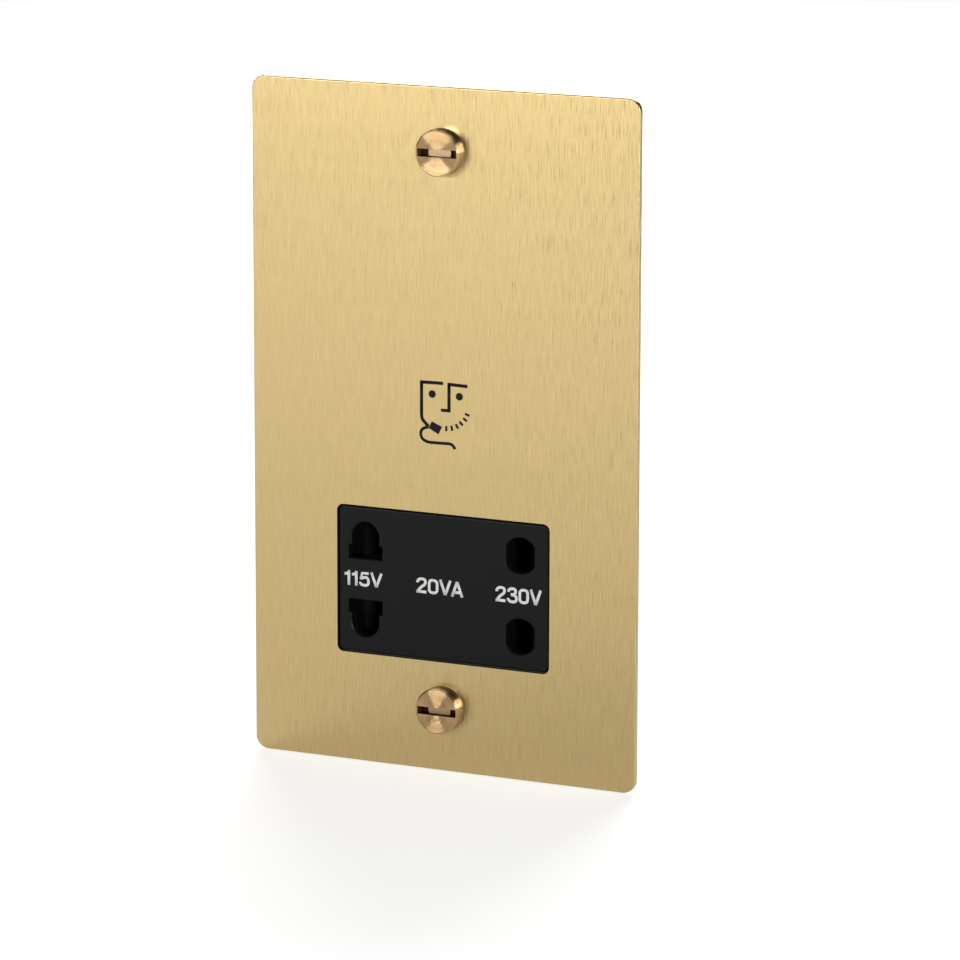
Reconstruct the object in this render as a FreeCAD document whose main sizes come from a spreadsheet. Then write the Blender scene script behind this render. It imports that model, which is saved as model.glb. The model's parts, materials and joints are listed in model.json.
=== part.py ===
"""A dual-voltage shaver socket on a flat brass double wall plate.

The wall lies in the XZ plane: the plate's rear face is at depth 0, the front faces -Y
and the works reach back along +Y into the wall box. Sizes are in millimetres.
"""

import FreeCAD
import Part
import math
import os
import re
import Sketcher

from FreeCAD import Placement, Rotation, Vector

# Driving sizes, in millimetres. Depths count from the wall, levels from the plate's centre.
SIZES = {
    # Front plate
    "plate_width": 90.0,
    "plate_height": 148.0,
    "plate_thickness": 1.2,
    "plate_corner": 2.8,
    "plate_edge": 0.3,
    "fixing_margin": 13.7,
    "window_width": 50.1,
    "window_height": 32.6,
    "window_corner": 1.5,
    "socket_margin": 40.2,
    # Slotted caps and the wall screws pressed into them
    "cap_diameter": 10.1,
    "cap_height": 3.0,
    "cap_bevel": 0.4,
    "cap_slot_width": 1.7,
    "cap_slot_wall": 0.5,
    "cap_slot_depth": 2.4,
    "screw_diameter": 3.5,
    "screw_head_diameter": 5.2,
    "screw_head_height": 1.4,
    "screw_length": 25.0,
    "screw_neck_diameter": 2.9,
    "screw_neck_length": 1.6,
    "screw_point": 0.6,
    "thread_clearance": 0.05,
    "hole_clearance": 0.3,
    # Welded studs that carry the works behind the plate
    "stud_diameter": 3.0,
    "stud_length": 8.0,
    "stud_inset": 6.0,
    "stud_gap": 8.2,
    "stud_margin": 6.4,
    "washer_diameter": 7.0,
    "washer_thickness": 0.5,
    "nut_width": 5.5,
    "nut_height": 2.4,
    # Black face moulding
    "face_gap": 0.35,
    "face_recess": 0.3,
    "face_edge": 0.4,
    "flange_thickness": 1.6,
    "flange_corner": 1.5,
    "flange_lap": 2.0,
    "flange_gap": 0.2,
    "opening_margin": 1.6,
    "outlet_230_inset": 7.05,
    "outlet_115_inset": 6.5,
    "pin_rise": 8.83,
    "hole_230_diameter": 7.7,
    "hole_230_width": 6.6,
    "hole_115_wide": 8.0,
    "hole_115_narrow": 6.5,
    "hole_115_start": 4.6,
    "hole_115_step": 7.4,
    "hole_115_end": 12.6,
    "hole_edge": 0.25,
    "rib_thickness": 1.0,
    "rib_inner_rise": 3.7,
    "rib_gap": 0.7,
    "rib_setback": 1.65,
    # Sliding shutter, its centring spring and its switch wiper
    "shutter_gap": 2.6,
    "shutter_play": 0.25,
    "shutter_thickness": 2.0,
    "shutter_end_gap": 0.7,
    "shutter_corner": 1.0,
    "shutter_travel": 3.5,
    "shutter_window_230": 7.0,
    "shutter_window_115": 8.4,
    "shutter_window_height": 9.2,
    "shutter_ramp": 1.4,
    "spring_length": 18.0,
    "spring_diameter": 3.6,
    "spring_wire": 0.45,
    "spring_turns": 8.0,
    "spring_gap": 0.2,
    "wiper_width": 4.0,
    "wiper_height": 7.6,
    "wiper_thickness": 0.4,
    # Contact block and contacts
    "block_depth": 15.0,
    "block_fit": 0.2,
    "rail_gap": 0.2,
    "rail_width": 1.95,
    "chamber_depth": 12.5,
    "chamber_230_width": 9.4,
    "chamber_115_width": 10.4,
    "chamber_height": 9.8,
    "contact_thickness": 0.5,
    "contact_height": 8.0,
    "contact_mouth": 6.6,
    "contact_waist": 3.4,
    "contact_heel": 5.4,
    "contact_setback": 1.0,
    "contact_waist_run": 5.0,
    "tail_width": 2.4,
    "tail_reach": 1.6,
    "tail_shift": 3.2,
    "tail_clearance": 0.15,
    "link_height": 3.0,
    "link_thickness": 0.6,
    "link_overhang": 1.5,
    "switch_rise": 9.0,
    "switch_pitch": 5.0,
    "switch_height": 2.4,
    "switch_half_length": 7.0,
    "switch_gap": 2.6,
    "switch_pad_height": 1.0,
    "switch_strip": 0.5,
    "switch_pocket_fit": 0.1,
    # Moulded chassis behind the plate
    "module_margin": 6.95,
    "module_wall": 1.8,
    "cavity_margin": 0.7,
    "base_thickness": 3.0,
    "base_margin": 11.0,
    "base_corner": 3.0,
    "lug_clearance": 20.0,
    "skirt_thickness": 1.6,
    "skirt_height": 7.0,
    "skirt_gap": 2.5,
    "post_diameter": 8.0,
    "post_web_thickness": 1.6,
    "post_web_height": 4.0,
    # Rear cover with three terminal cells
    "cover_thickness": 2.0,
    "cover_corner": 2.0,
    "ear_width": 6.8,
    "ear_reach": 6.9,
    "ear_overlap": 1.5,
    "ear_corner": 3.2,
    "ear_upper_across": 20.0,
    "ear_lower_across": 15.0,
    "cover_screw_diameter": 2.6,
    "cover_screw_length": 9.0,
    "cover_screw_head": 5.0,
    "cover_screw_head_height": 1.7,
    "cover_screw_slot": 0.8,
    "cell_pitch": 13.0,
    "cell_width": 8.6,
    "cell_height": 10.0,
    "cell_wall": 1.4,
    "cell_floor": 1.2,
    "cell_depth": 11.0,
    "cell_notch_width": 2.4,
    "terminal_width": 7.0,
    "terminal_height": 7.4,
    "terminal_depth": 8.0,
    "terminal_lift": 1.0,
    "terminal_bore": 3.8,
    "terminal_screw_length": 2.0,
    "terminal_screw_head": 5.6,
    "terminal_screw_head_height": 1.8,
    "terminal_screw_slot": 0.9,
    # Isolating transformer on its four posts
    "core_side_gap": 3.5,
    "core_end_gap": 5.5,
    "core_stack": 20.0,
    "core_lift": 9.0,
    "core_corner": 0.6,
    "core_screw_diameter": 3.0,
    "core_screw_length": 26.0,
    "core_screw_head": 5.5,
    "core_screw_head_height": 2.2,
    "core_screw_slot": 0.9,
    "core_washer_thickness": 0.5,
    "core_washer_diameter": 6.6,
    "bobbin_fit": 0.3,
    "bobbin_wall": 1.0,
    "bobbin_flange": 1.2,
    "bobbin_corner": 1.5,
    "ledge_half_width": 14.0,
    "ledge_reach": 5.5,
    "ledge_clearance": 1.4,
    "ledge_depth": 5.0,
    "flange_lip": 0.35,
    "winding_gap": 1.8,
    "winding_corner": 3.0,
    "tape_thickness": 0.35,
    "tag_width": 1.4,
    "tag_thickness": 0.8,
    "tag_root": 2.5,
    "tag_length": 4.0,
    "tag_pitch": 10.0,
    "cutout_width": 6.4,
    "cutout_length": 18.0,
    "cutout_height": 3.6,
    "cutout_corner": 1.2,
    # Earth tag and the leads
    "tag_ring_diameter": 6.6,
    "tag_plate_thickness": 0.8,
    "tag_tongue_width": 3.2,
    "tag_tongue_reach": 5.2,
    "tag_barrel_diameter": 2.8,
    "tag_barrel_start": 5.4,
    "tag_barrel_length": 5.0,
    "lead_diameter": 1.6,
    "lead_gap": 1.6,
    "lead_bend": 4.0,
}

# Places worked out from the sizes: names ending in front or back are depths.
PLACES = {
    "plate_front": "-plate_thickness",
    "cap_front": "plate_front - cap_height",
    "fixing_level": "plate_height / 2 - fixing_margin",
    "socket_level": "socket_margin - plate_height / 2",
    "face_front": "face_recess - plate_thickness",
    "shutter_front": "flange_thickness + shutter_gap",
    "shutter_back": "shutter_front + shutter_thickness",
    "shutter_middle": "(shutter_front + shutter_back) / 2",
    "block_front": "shutter_back + shutter_play",
    "block_back": "block_front + block_depth",
    "chamber_back": "block_front + chamber_depth",
    "contact_front": "block_front + contact_setback",
    "cover_back": "block_back + cover_thickness",
    "tail_back": "cover_back + tail_reach",
    "cell_floor_back": "cover_back + cell_floor",
    "cell_back": "cover_back + cell_depth",
    "terminal_back": "cell_floor_back + terminal_depth",
    "switch_pad_back": "block_front + switch_pad_height",
    "switch_strip_back": "switch_pad_back + switch_strip",
    "outlet_230_across": "window_width / 2 - outlet_230_inset",
    "outlet_115_across": "window_width / 2 - outlet_115_inset",
    "rib_outer_rise": "hole_115_end + rib_gap + rib_thickness / 2",
    "module_width": "window_width + 2 * module_margin",
    "cavity_width": "module_width - 2 * module_wall",
    "cavity_height": "window_height + 2 * cavity_margin",
    "opening_width": "window_width + 2 * opening_margin",
    "shutter_width": "cavity_width - 2 * (shutter_travel + shutter_end_gap)",
    "shutter_height": "cavity_height - 2 * (block_fit + rail_width + shutter_play)",
    "box_height": "cavity_height + 2 * module_wall",
    "box_top": "socket_level + box_height / 2",
    "box_bottom": "socket_level - box_height / 2",
    "ear_level": "box_height / 2 - ear_overlap + (ear_reach + ear_overlap) / 2",
    "cell_bottom": "box_bottom",
    "cell_top": "box_bottom + cell_height",
    "terminal_bottom": "cell_bottom + terminal_lift",
    "terminal_top": "terminal_bottom + terminal_height",
    "terminal_middle": "cell_floor_back + terminal_depth / 2",
    "tail_level": "pin_rise - tail_shift",
    "core_space": "fixing_level - box_top - 2 * core_end_gap",
    "core_leg": "min((module_width - 2 * core_side_gap) / 3; core_space / 2.5)",
    "core_width": "3 * core_leg",
    "core_height": "2.5 * core_leg",
    "core_window": "core_leg / 2",
    "core_yoke": "core_leg / 2",
    "core_hole_inset": "core_leg / 4",
    "core_level": "(box_top + fixing_level) / 2",
    "core_front": "base_thickness + core_lift",
    "core_back": "core_front + core_stack",
    "core_middle": "(core_front + core_back) / 2",
    "hole_across": "core_width / 2 - core_hole_inset",
    "hole_rise": "core_height / 2 - core_hole_inset",
    "window_rise": "core_height / 2 - core_yoke",
    "tube_width": "core_leg + 2 * (bobbin_fit + bobbin_wall)",
    "tube_depth": "core_stack + 2 * (bobbin_fit + bobbin_wall)",
    "bobbin_rise": "window_rise - bobbin_fit",
    "flange_half": "core_leg / 2 + core_window - bobbin_fit",
    "winding_build": "core_window - bobbin_fit - bobbin_wall - winding_gap",
    "winding_width": "tube_width + 2 * winding_build",
    "winding_depth": "tube_depth + 2 * winding_build",
    "flange_depth": "winding_depth + 2 * (tape_thickness + flange_lip)",
    "ledge_front": "core_back + ledge_clearance",
    "ledge_back": "ledge_front + ledge_depth",
    "ledge_middle": "(ledge_front + ledge_back) / 2",
    "ledge_end": "bobbin_rise + ledge_reach",
    "tag_end": "ledge_end + tag_length",
    "washer_front": "base_thickness",
    "cutout_across": "hole_across",
    "stud_across": "module_width / 2 - stud_inset",
    "upper_stud_level": "core_level + hole_rise + stud_gap",
    "base_top": "upper_stud_level + stud_margin",
    "base_bottom": "base_margin - plate_height / 2",
    "lower_stud_level": "base_bottom + stud_margin",
}

FRONT = "XZ_Plane"
LEVEL = "XY_Plane"
SIDE = "YZ_Plane"

doc = FreeCAD.newDocument("ShaverSocket")
nodes = []
cuts = []


def formula(text):
    """Point each size or place that the text names at its cell."""
    def cell(match):
        word = match.group(0)
        if word in SIZES:
            return "Sizes." + word
        if word in PLACES:
            return "Places." + word
        return word
    return re.sub(r"[a-z][a-z_0-9]*", cell, text)


def add_sheet(name, rows):
    """A sheet with one named row for each entry."""
    sheet = doc.addObject("Spreadsheet::Sheet", name)
    for row, (alias, content) in enumerate(rows.items(), start=1):
        sheet.set(f"A{row}", alias)
        sheet.set(f"B{row}", content)
        sheet.setAlias(f"B{row}", alias)
    doc.recompute()
    return sheet


sizes = add_sheet("Sizes", {name: str(size) for name, size in SIZES.items()})
places = add_sheet("Places", {name: "=" + formula(text) for name, text in PLACES.items()})


def value(text):
    """The number that a formula gives now."""
    return float(places.evalExpression(formula(text)))


def point(across, depth, level):
    """A point given by three formulas."""
    return Vector(value(across), value(depth), value(level))


# Outlines, drawn into a sketch and tied to the sheet


def locate(sketch, geometry, end, across=None, up=None):
    """Hold one end of a sketch element at its distances from the sketch's origin."""
    if across is not None:
        index = sketch.addConstraint(
            Sketcher.Constraint("DistanceX", -1, 1, geometry, end, value(across)))
        sketch.setExpression(f"Constraints[{index}]", formula(across))
    if up is not None:
        index = sketch.addConstraint(
            Sketcher.Constraint("DistanceY", -1, 1, geometry, end, value(up)))
        sketch.setExpression(f"Constraints[{index}]", formula(up))


def measure(sketch, kind, geometry, size):
    """Give a circle or an arc its radius or diameter."""
    index = sketch.addConstraint(Sketcher.Constraint(kind, geometry, value(size)))
    sketch.setExpression(f"Constraints[{index}]", formula(size))


def polygon(*corners):
    """A closed outline of straight lines through (across, up) corners."""
    def draw(sketch):
        spots = [Vector(value(across), value(up), 0) for across, up in corners]
        first = sketch.GeometryCount
        count = len(spots)
        for i in range(count):
            sketch.addGeometry(Part.LineSegment(spots[i], spots[(i + 1) % count]), False)
        for i in range(count):
            sketch.addConstraint(
                Sketcher.Constraint("Coincident", first + i, 2, first + (i + 1) % count, 1))
        for i, (across, up) in enumerate(corners):
            locate(sketch, first + i, 1, across, up)
    return draw


def rectangle(across, up, width, height, radius=None):
    """A rectangle about its centre, with rounded corners where a radius is given."""
    left = f"({across}) - ({width}) / 2"
    right = f"({across}) + ({width}) / 2"
    bottom = f"({up}) - ({height}) / 2"
    top = f"({up}) + ({height}) / 2"
    if radius is None:
        return polygon((left, bottom), (right, bottom), (right, top), (left, top))

    def draw(sketch):
        r = value(radius)
        x0, x1, y0, y1 = value(left), value(right), value(bottom), value(top)
        lines = [
            ((x0 + r, y0), (x1 - r, y0)), ((x1, y0 + r), (x1, y1 - r)),
            ((x1 - r, y1), (x0 + r, y1)), ((x0, y1 - r), (x0, y0 + r)),
        ]
        centres = [(x1 - r, y0 + r), (x1 - r, y1 - r), (x0 + r, y1 - r), (x0 + r, y0 + r)]
        first = sketch.GeometryCount
        for start, stop in lines:
            sketch.addGeometry(Part.LineSegment(Vector(*start, 0), Vector(*stop, 0)), False)
        for i, (x, y) in enumerate(centres):
            circle_line = Part.Circle(Vector(x, y, 0), Vector(0, 0, 1), r)
            turn_start = math.radians(90 * i - 90)
            arc = Part.ArcOfCircle(circle_line, turn_start, turn_start + math.pi / 2)
            sketch.addGeometry(arc, False)
        for i in range(4):
            line, arc, following = first + i, first + 4 + i, first + (i + 1) % 4
            sketch.addConstraint(Sketcher.Constraint("Tangent", line, 2, arc, 1))
            sketch.addConstraint(Sketcher.Constraint("Tangent", arc, 2, following, 1))
            if i:
                sketch.addConstraint(Sketcher.Constraint("Equal", first + 4, arc))
        for i, kind in enumerate(("Horizontal", "Vertical", "Horizontal", "Vertical")):
            sketch.addConstraint(Sketcher.Constraint(kind, first + i))
        measure(sketch, "Radius", first + 4, radius)
        locate(sketch, first, 1, up=bottom)
        locate(sketch, first + 1, 1, across=right)
        locate(sketch, first + 2, 1, up=top)
        locate(sketch, first + 3, 1, across=left)
    return draw


def circle(across, up, diameter):
    """A full circle."""
    def draw(sketch):
        centre = Vector(value(across), value(up), 0)
        index = sketch.addGeometry(
            Part.Circle(centre, Vector(0, 0, 1), value(diameter) / 2), False)
        measure(sketch, "Diameter", index, diameter)
        locate(sketch, index, 3, across, up)
    return draw


def flatted_circle(across, up, diameter, width):
    """A circle with its left and right sides cut straight to a width."""
    def draw(sketch):
        x, y = value(across), value(up)
        r, half = value(diameter) / 2, value(width) / 2
        rise = math.sqrt(r * r - half * half)
        lean = math.atan2(rise, half)
        ring = Part.Circle(Vector(x, y, 0), Vector(0, 0, 1), r)
        first = sketch.GeometryCount
        sketch.addGeometry(
            Part.LineSegment(Vector(x + half, y - rise, 0), Vector(x + half, y + rise, 0)), False)
        sketch.addGeometry(Part.ArcOfCircle(ring, lean, math.pi - lean), False)
        sketch.addGeometry(
            Part.LineSegment(Vector(x - half, y + rise, 0), Vector(x - half, y - rise, 0)), False)
        sketch.addGeometry(Part.ArcOfCircle(ring, math.pi + lean, 2 * math.pi - lean), False)
        for i in range(4):
            sketch.addConstraint(
                Sketcher.Constraint("Coincident", first + i, 2, first + (i + 1) % 4, 1))
        sketch.addConstraint(Sketcher.Constraint("Coincident", first + 1, 3, first + 3, 3))
        sketch.addConstraint(Sketcher.Constraint("Equal", first + 1, first + 3))
        sketch.addConstraint(Sketcher.Constraint("Vertical", first))
        sketch.addConstraint(Sketcher.Constraint("Vertical", first + 2))
        measure(sketch, "Diameter", first + 1, diameter)
        locate(sketch, first + 1, 3, across, up)
        locate(sketch, first, 1, across=f"({across}) + ({width}) / 2")
        locate(sketch, first + 2, 1, across=f"({across}) - ({width}) / 2")
    return draw


# Bodies and their features


def new_body(label):
    """An empty body that becomes the node of that name."""
    body = doc.addObject("PartDesign::Body", "Body_" + label)
    body.Label = label
    return body


def keep(piece, label=None):
    """Mark a piece as a node to be written."""
    if label:
        piece.Label = label
    nodes.append(piece)
    return piece


def new_sketch(body, plane, outlines, offset="0", shift_up="0"):
    """A sketch parallel to one of the body's origin planes, with its outlines drawn."""
    sketch = body.newObject("Sketcher::SketchObject", "Sketch_" + body.Label)
    origin_plane = next(item for item in body.Origin.OriginFeatures if item.Role == plane)
    sketch.AttachmentSupport = [(origin_plane, "")]
    sketch.MapMode = "FlatFace"
    sketch.setExpression("AttachmentOffset.Base.z", formula(offset))
    sketch.setExpression("AttachmentOffset.Base.y", formula(shift_up))
    for outline in outlines:
        outline(sketch)
    sketch.Visibility = False
    return sketch


def pad_back(body, front, back, *outlines):
    """Add material between two depths."""
    pad = body.newObject("PartDesign::Pad", "Pad_" + body.Label)
    pad.Profile = new_sketch(body, FRONT, outlines, f"-({front})")
    pad.setExpression("Length", formula(f"({back}) - ({front})"))
    pad.Reversed = True
    return pad


def cut_back(body, front, back, *outlines):
    """Remove material between two depths."""
    pocket = body.newObject("PartDesign::Pocket", "Pocket_" + body.Label)
    pocket.Profile = new_sketch(body, FRONT, outlines, f"-({front})")
    pocket.setExpression("Length", formula(f"({back}) - ({front})"))
    cuts.append(pocket)
    return pocket


def pad_up(body, bottom, top, *outlines):
    """Add material between two levels."""
    pad = body.newObject("PartDesign::Pad", "Pad_" + body.Label)
    pad.Profile = new_sketch(body, LEVEL, outlines, bottom)
    pad.setExpression("Length", formula(f"({top}) - ({bottom})"))
    return pad


def cut_up(body, bottom, top, *outlines):
    """Remove material between two levels."""
    pocket = body.newObject("PartDesign::Pocket", "Pocket_" + body.Label)
    pocket.Profile = new_sketch(body, LEVEL, outlines, bottom)
    pocket.setExpression("Length", formula(f"({top}) - ({bottom})"))
    pocket.Reversed = True
    cuts.append(pocket)
    return pocket


def turn(body, across, level, *profile):
    """Turn a (depth, radius) profile about an axis that runs straight back."""
    solid = body.newObject("PartDesign::Revolution", "Turned_" + body.Label)
    sketch = new_sketch(body, SIDE, [polygon(*profile)], across, level)
    solid.Profile = sketch
    solid.ReferenceAxis = (sketch, ["H_Axis"])
    solid.Angle = 360
    return solid


def dress_edges(body, kind, size, chosen):
    """Round or bevel the edges of the body's last feature that a test chooses."""
    base = body.Tip
    doc.recompute()
    names = [f"Edge{i}" for i, edge in enumerate(base.Shape.Edges, start=1) if chosen(edge)]
    feature = body.newObject("PartDesign::" + kind, kind + "_" + body.Label)
    feature.Base = (base, names)
    feature.setExpression("Radius" if kind == "Fillet" else "Size", formula(size))
    return feature


def at_depth(edge, depth):
    """Whether an edge lies wholly at one depth."""
    box = edge.BoundBox
    return abs(box.YMin - depth) < 1e-4 and abs(box.YMax - depth) < 1e-4


def group(label, pieces):
    """Several separate solids that share one node."""
    compound = doc.addObject("Part::Compound", "Group_" + label)
    compound.Links = pieces
    return keep(compound, label)


def rod_back(label, across, level, front, back, diameter):
    """A cylinder that runs straight back between two depths."""
    rod = doc.addObject("Part::Cylinder", label)
    rod.setExpression("Radius", formula(f"({diameter}) / 2"))
    rod.setExpression("Height", formula(f"({back}) - ({front})"))
    rod.Placement = Placement(Vector(), Rotation(Vector(1, 0, 0), -90))
    rod.setExpression("Placement.Base.x", formula(across))
    rod.setExpression("Placement.Base.y", formula(front))
    rod.setExpression("Placement.Base.z", formula(level))
    return rod


def block_between(label, across, depths, levels):
    """A plain block between two places each way."""
    block = doc.addObject("Part::Box", label)
    for side, axis, (low, high) in zip(
            ("Length", "Width", "Height"), "xyz", (across, depths, levels)):
        block.setExpression(side, formula(f"({high}) - ({low})"))
        block.setExpression("Placement.Base." + axis, formula(low))
    return block


def subtract(label, base, *tools):
    """One solid less others."""
    for i, tool in enumerate(tools):
        cut = doc.addObject("Part::Cut", f"{label}_{i}")
        cut.Base = base
        cut.Tool = tool
        base = cut
    return base


def join(label, *pieces):
    """Solids fused to one."""
    fuse = doc.addObject("Part::MultiFuse", label)
    fuse.Shapes = list(pieces)
    fuse.Refine = True
    return fuse


# The pieces


def make_front_plate():
    """Flat brass plate with the socket's window and two fixing holes."""
    body = keep(new_body("front_plate"))
    hole = "screw_diameter + 2 * hole_clearance"
    pad_back(body, "plate_front", "0",
             rectangle("0", "0", "plate_width", "plate_height", "plate_corner"))
    front = value("plate_front")
    dress_edges(body, "Fillet", "plate_edge", lambda edge: at_depth(edge, front))
    cut_back(body, "plate_front - 1", "1",
             rectangle("0", "socket_level", "window_width", "window_height", "window_corner"),
             circle("0", "fixing_level", hole),
             circle("0", "-fixing_level", hole))


def make_fixings():
    """Two slotted caps, each with a wall screw's head pressed into its back."""
    caps = []
    screws = []
    for side, name in ((1, "upper"), (-1, "lower")):
        level = f"{side} * fixing_level"
        bore = "screw_head_diameter / 2 + thread_clearance"
        cap = new_body("cap_" + name)
        turn(cap, "0", level,
             ("cap_front", "0"),
             ("cap_front", "cap_diameter / 2 - cap_bevel"),
             ("cap_front + cap_bevel", "cap_diameter / 2"),
             ("plate_front", "cap_diameter / 2"),
             ("plate_front", bore),
             ("plate_front - screw_head_height - thread_clearance", bore),
             ("plate_front - screw_head_height - thread_clearance", "0"))
        cut_back(cap, "cap_front - 1", "cap_front + cap_slot_depth",
                 rectangle("0", level, "cap_diameter - 2 * cap_slot_wall", "cap_slot_width"))
        caps.append(cap)

        screw = new_body("screw_" + name)
        end = "plate_front + screw_length"
        turn(screw, "0", level,
             ("plate_front - screw_head_height", "0"),
             ("plate_front - screw_head_height", "screw_head_diameter / 2"),
             ("plate_front", "screw_head_diameter / 2"),
             ("plate_front", "screw_neck_diameter / 2"),
             ("plate_front + screw_neck_length", "screw_neck_diameter / 2"),
             ("plate_front + screw_neck_length", "screw_diameter / 2"),
             (f"{end} - screw_point", "screw_diameter / 2"),
             (end, "screw_diameter / 2 - screw_point"),
             (end, "0"))
        screws.append(screw)
    group("screw_caps", caps)
    group("fixing_screws", screws)


def stud_spots():
    """Across and level of the four studs, and what lies under each nut besides a washer."""
    for side in (-1, 1):
        yield f"{side} * stud_across", "upper_stud_level", "0"
    yield "-stud_across", "lower_stud_level", "tag_plate_thickness"
    yield "stud_across", "lower_stud_level", "0"


def make_stud_set():
    """Welded studs, and the washers and nuts that hold the chassis to the plate."""
    studs, washers, nuts = [], [], []
    bore = "stud_diameter + 2 * thread_clearance"
    for i, (across, level, packing) in enumerate(stud_spots()):
        seat = f"washer_front + {packing}"
        top = f"{seat} + washer_thickness"
        end = f"{top} + nut_height"
        studs.append(rod_back(f"stud_{i}", across, level, "0", "stud_length", "stud_diameter"))
        washers.append(subtract(
            f"washer_{i}",
            rod_back(f"washer_disc_{i}", across, level, seat, top, "washer_diameter"),
            rod_back(f"washer_bore_{i}", across, level, seat, top, bore)))
        hexagon = doc.addObject("Part::Prism", f"nut_hexagon_{i}")
        hexagon.Polygon = 6
        hexagon.setExpression("Circumradius", formula("nut_width / sqrt(3)"))
        hexagon.setExpression("Height", formula("nut_height"))
        hexagon.Placement = Placement(Vector(), Rotation(Vector(1, 0, 0), -90))
        hexagon.setExpression("Placement.Base.x", formula(across))
        hexagon.setExpression("Placement.Base.y", formula(top))
        hexagon.setExpression("Placement.Base.z", formula(level))
        nuts.append(subtract(
            f"nut_{i}", hexagon, rod_back(f"nut_bore_{i}", across, level, top, end, bore)))
    group("plate_studs", studs)
    group("stud_washers", washers)
    group("stud_nuts", nuts)


def face_holes(body, front, back):
    """Cut the four pin holes: two flatted circles, and two keyholes for blades or pins."""
    across = "-outlet_115_across"
    round_level = "hole_115_end - hole_115_narrow / 2"
    rounds, steps, necks, ends = [], [], [], []
    for side in (-1, 1):
        middle = f"socket_level + {side} * "
        rounds.append(flatted_circle(
            "outlet_230_across", middle + "pin_rise", "hole_230_diameter", "hole_230_width"))
        steps.append(rectangle(
            across, middle + "(hole_115_start + hole_115_step) / 2",
            "hole_115_wide", "hole_115_step - hole_115_start"))
        necks.append(rectangle(
            across, middle + f"(hole_115_start + {round_level}) / 2",
            "hole_115_narrow", f"{round_level} - hole_115_start"))
        ends.append(circle(across, middle + f"({round_level})", "hole_115_narrow"))
    cut_back(body, front, back, *rounds, *steps)
    cut_back(body, front, back, *necks)
    cut_back(body, front, back, *ends)


def make_socket_face():
    """Black moulding whose raised face fills the plate's window."""
    body = keep(new_body("socket_face"))
    pad_back(body, "0", "flange_thickness",
             rectangle("0", "socket_level", "opening_width + 2 * flange_lap",
                       "cavity_height + 2 * flange_lap", "flange_corner"))
    pad_back(body, "face_front", "flange_thickness",
             rectangle("0", "socket_level", "window_width - 2 * face_gap",
                       "window_height - 2 * face_gap", "window_corner - face_gap"))
    front = value("face_front")
    dress_edges(body, "Fillet", "face_edge", lambda edge: at_depth(edge, front))
    face_holes(body, "face_front - 1", "flange_thickness + 1")
    middle = value("socket_level")
    half_width = value("window_width / 2 - face_gap - 2 * face_edge")
    half_height = value("window_height / 2 - face_gap - 2 * face_edge")

    def hole_rim(edge):
        box = edge.BoundBox
        across = max(-box.XMin, box.XMax)
        up = max(box.ZMax - middle, middle - box.ZMin)
        return at_depth(edge, front) and across < half_width and up < half_height
    dress_edges(body, "Chamfer", "hole_edge", hole_rim)
    length = "opening_width - 2 * rib_setback"
    pad_back(body, "flange_thickness", "shutter_front - shutter_play",
             *[rectangle("0", f"socket_level + {side} * {rise}", length, "rib_thickness")
               for side in (-1, 1) for rise in ("rib_inner_rise", "rib_outer_rise")])


def shutter_windows():
    """Outlines of the shutter's four windows, set inwards of the holes by its travel."""
    for side in (-1, 1):
        level = f"socket_level + {side} * pin_rise"
        yield rectangle("outlet_230_across - shutter_travel", level,
                        "shutter_window_230", "shutter_window_height")
        yield rectangle("shutter_travel - outlet_115_across", level,
                        "shutter_window_115", "shutter_window_height")


def make_shutter():
    """Slider that shuts off one outlet while pins are in the other, and its switch wiper."""
    body = keep(new_body("shutter"))
    pad_back(body, "shutter_front", "shutter_back",
             rectangle("0", "socket_level", "shutter_width", "shutter_height", "shutter_corner"))
    cut_back(body, "shutter_front - 1", "shutter_back + 1",
             *shutter_windows(),
             rectangle("0", "socket_level", "spring_length + 2 * spring_gap",
                       "spring_diameter + 2 * spring_gap"))
    front = value("shutter_front")
    outer_230 = value("outlet_230_across - shutter_travel + shutter_window_230 / 2")
    outer_115 = value("shutter_travel - outlet_115_across - shutter_window_115 / 2")

    def pushed_edge(edge):
        x = edge.CenterOfMass.x
        at_side = abs(x - outer_230) < 1e-4 or abs(x - outer_115) < 1e-4
        return at_depth(edge, front) and at_side and edge.BoundBox.ZLength > 1
    dress_edges(body, "Chamfer", "shutter_ramp", pushed_edge)
    wiper_level = "socket_level + switch_rise"
    cut_back(body, "shutter_back - wiper_thickness", "shutter_back + 1",
             rectangle("0", wiper_level, "wiper_width", "wiper_height"))

    wiper = keep(new_body("switch_wiper"))
    pad_back(wiper, "shutter_back - wiper_thickness", "shutter_back",
             rectangle("0", wiper_level, "wiper_width", "wiper_height"))


def make_spring():
    """Compression spring lying across the slider, caught between slots in it and the block."""
    helix = doc.addObject("Part::Helix", "Spring_line")
    helix.setExpression("Radius", formula("(spring_diameter - spring_wire) / 2"))
    helix.setExpression("Height", formula("spring_length - spring_wire"))
    helix.setExpression("Pitch", formula("(spring_length - spring_wire) / spring_turns"))
    wire = doc.addObject("Part::Circle", "Spring_wire")
    wire.setExpression("Radius", formula("spring_wire / 2"))
    wire.Placement = Placement(Vector(), Rotation(Vector(1, 0, 0), 90))
    wire.setExpression("Placement.Base.x", formula("(spring_diameter - spring_wire) / 2"))
    coil = doc.addObject("Part::Sweep", "Spring_coil")
    coil.Sections = [wire]
    coil.Spine = (helix, ["Edge1"])
    coil.Solid = True
    coil.Frenet = True
    coil.Placement = Placement(Vector(), Rotation(Vector(0, 1, 0), 90))
    coil.setExpression("Placement.Base.x", formula("(spring_wire - spring_length) / 2"))
    coil.setExpression("Placement.Base.y", formula("shutter_middle"))
    coil.setExpression("Placement.Base.z", formula("socket_level"))
    keep(coil, "centring_spring")


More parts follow.
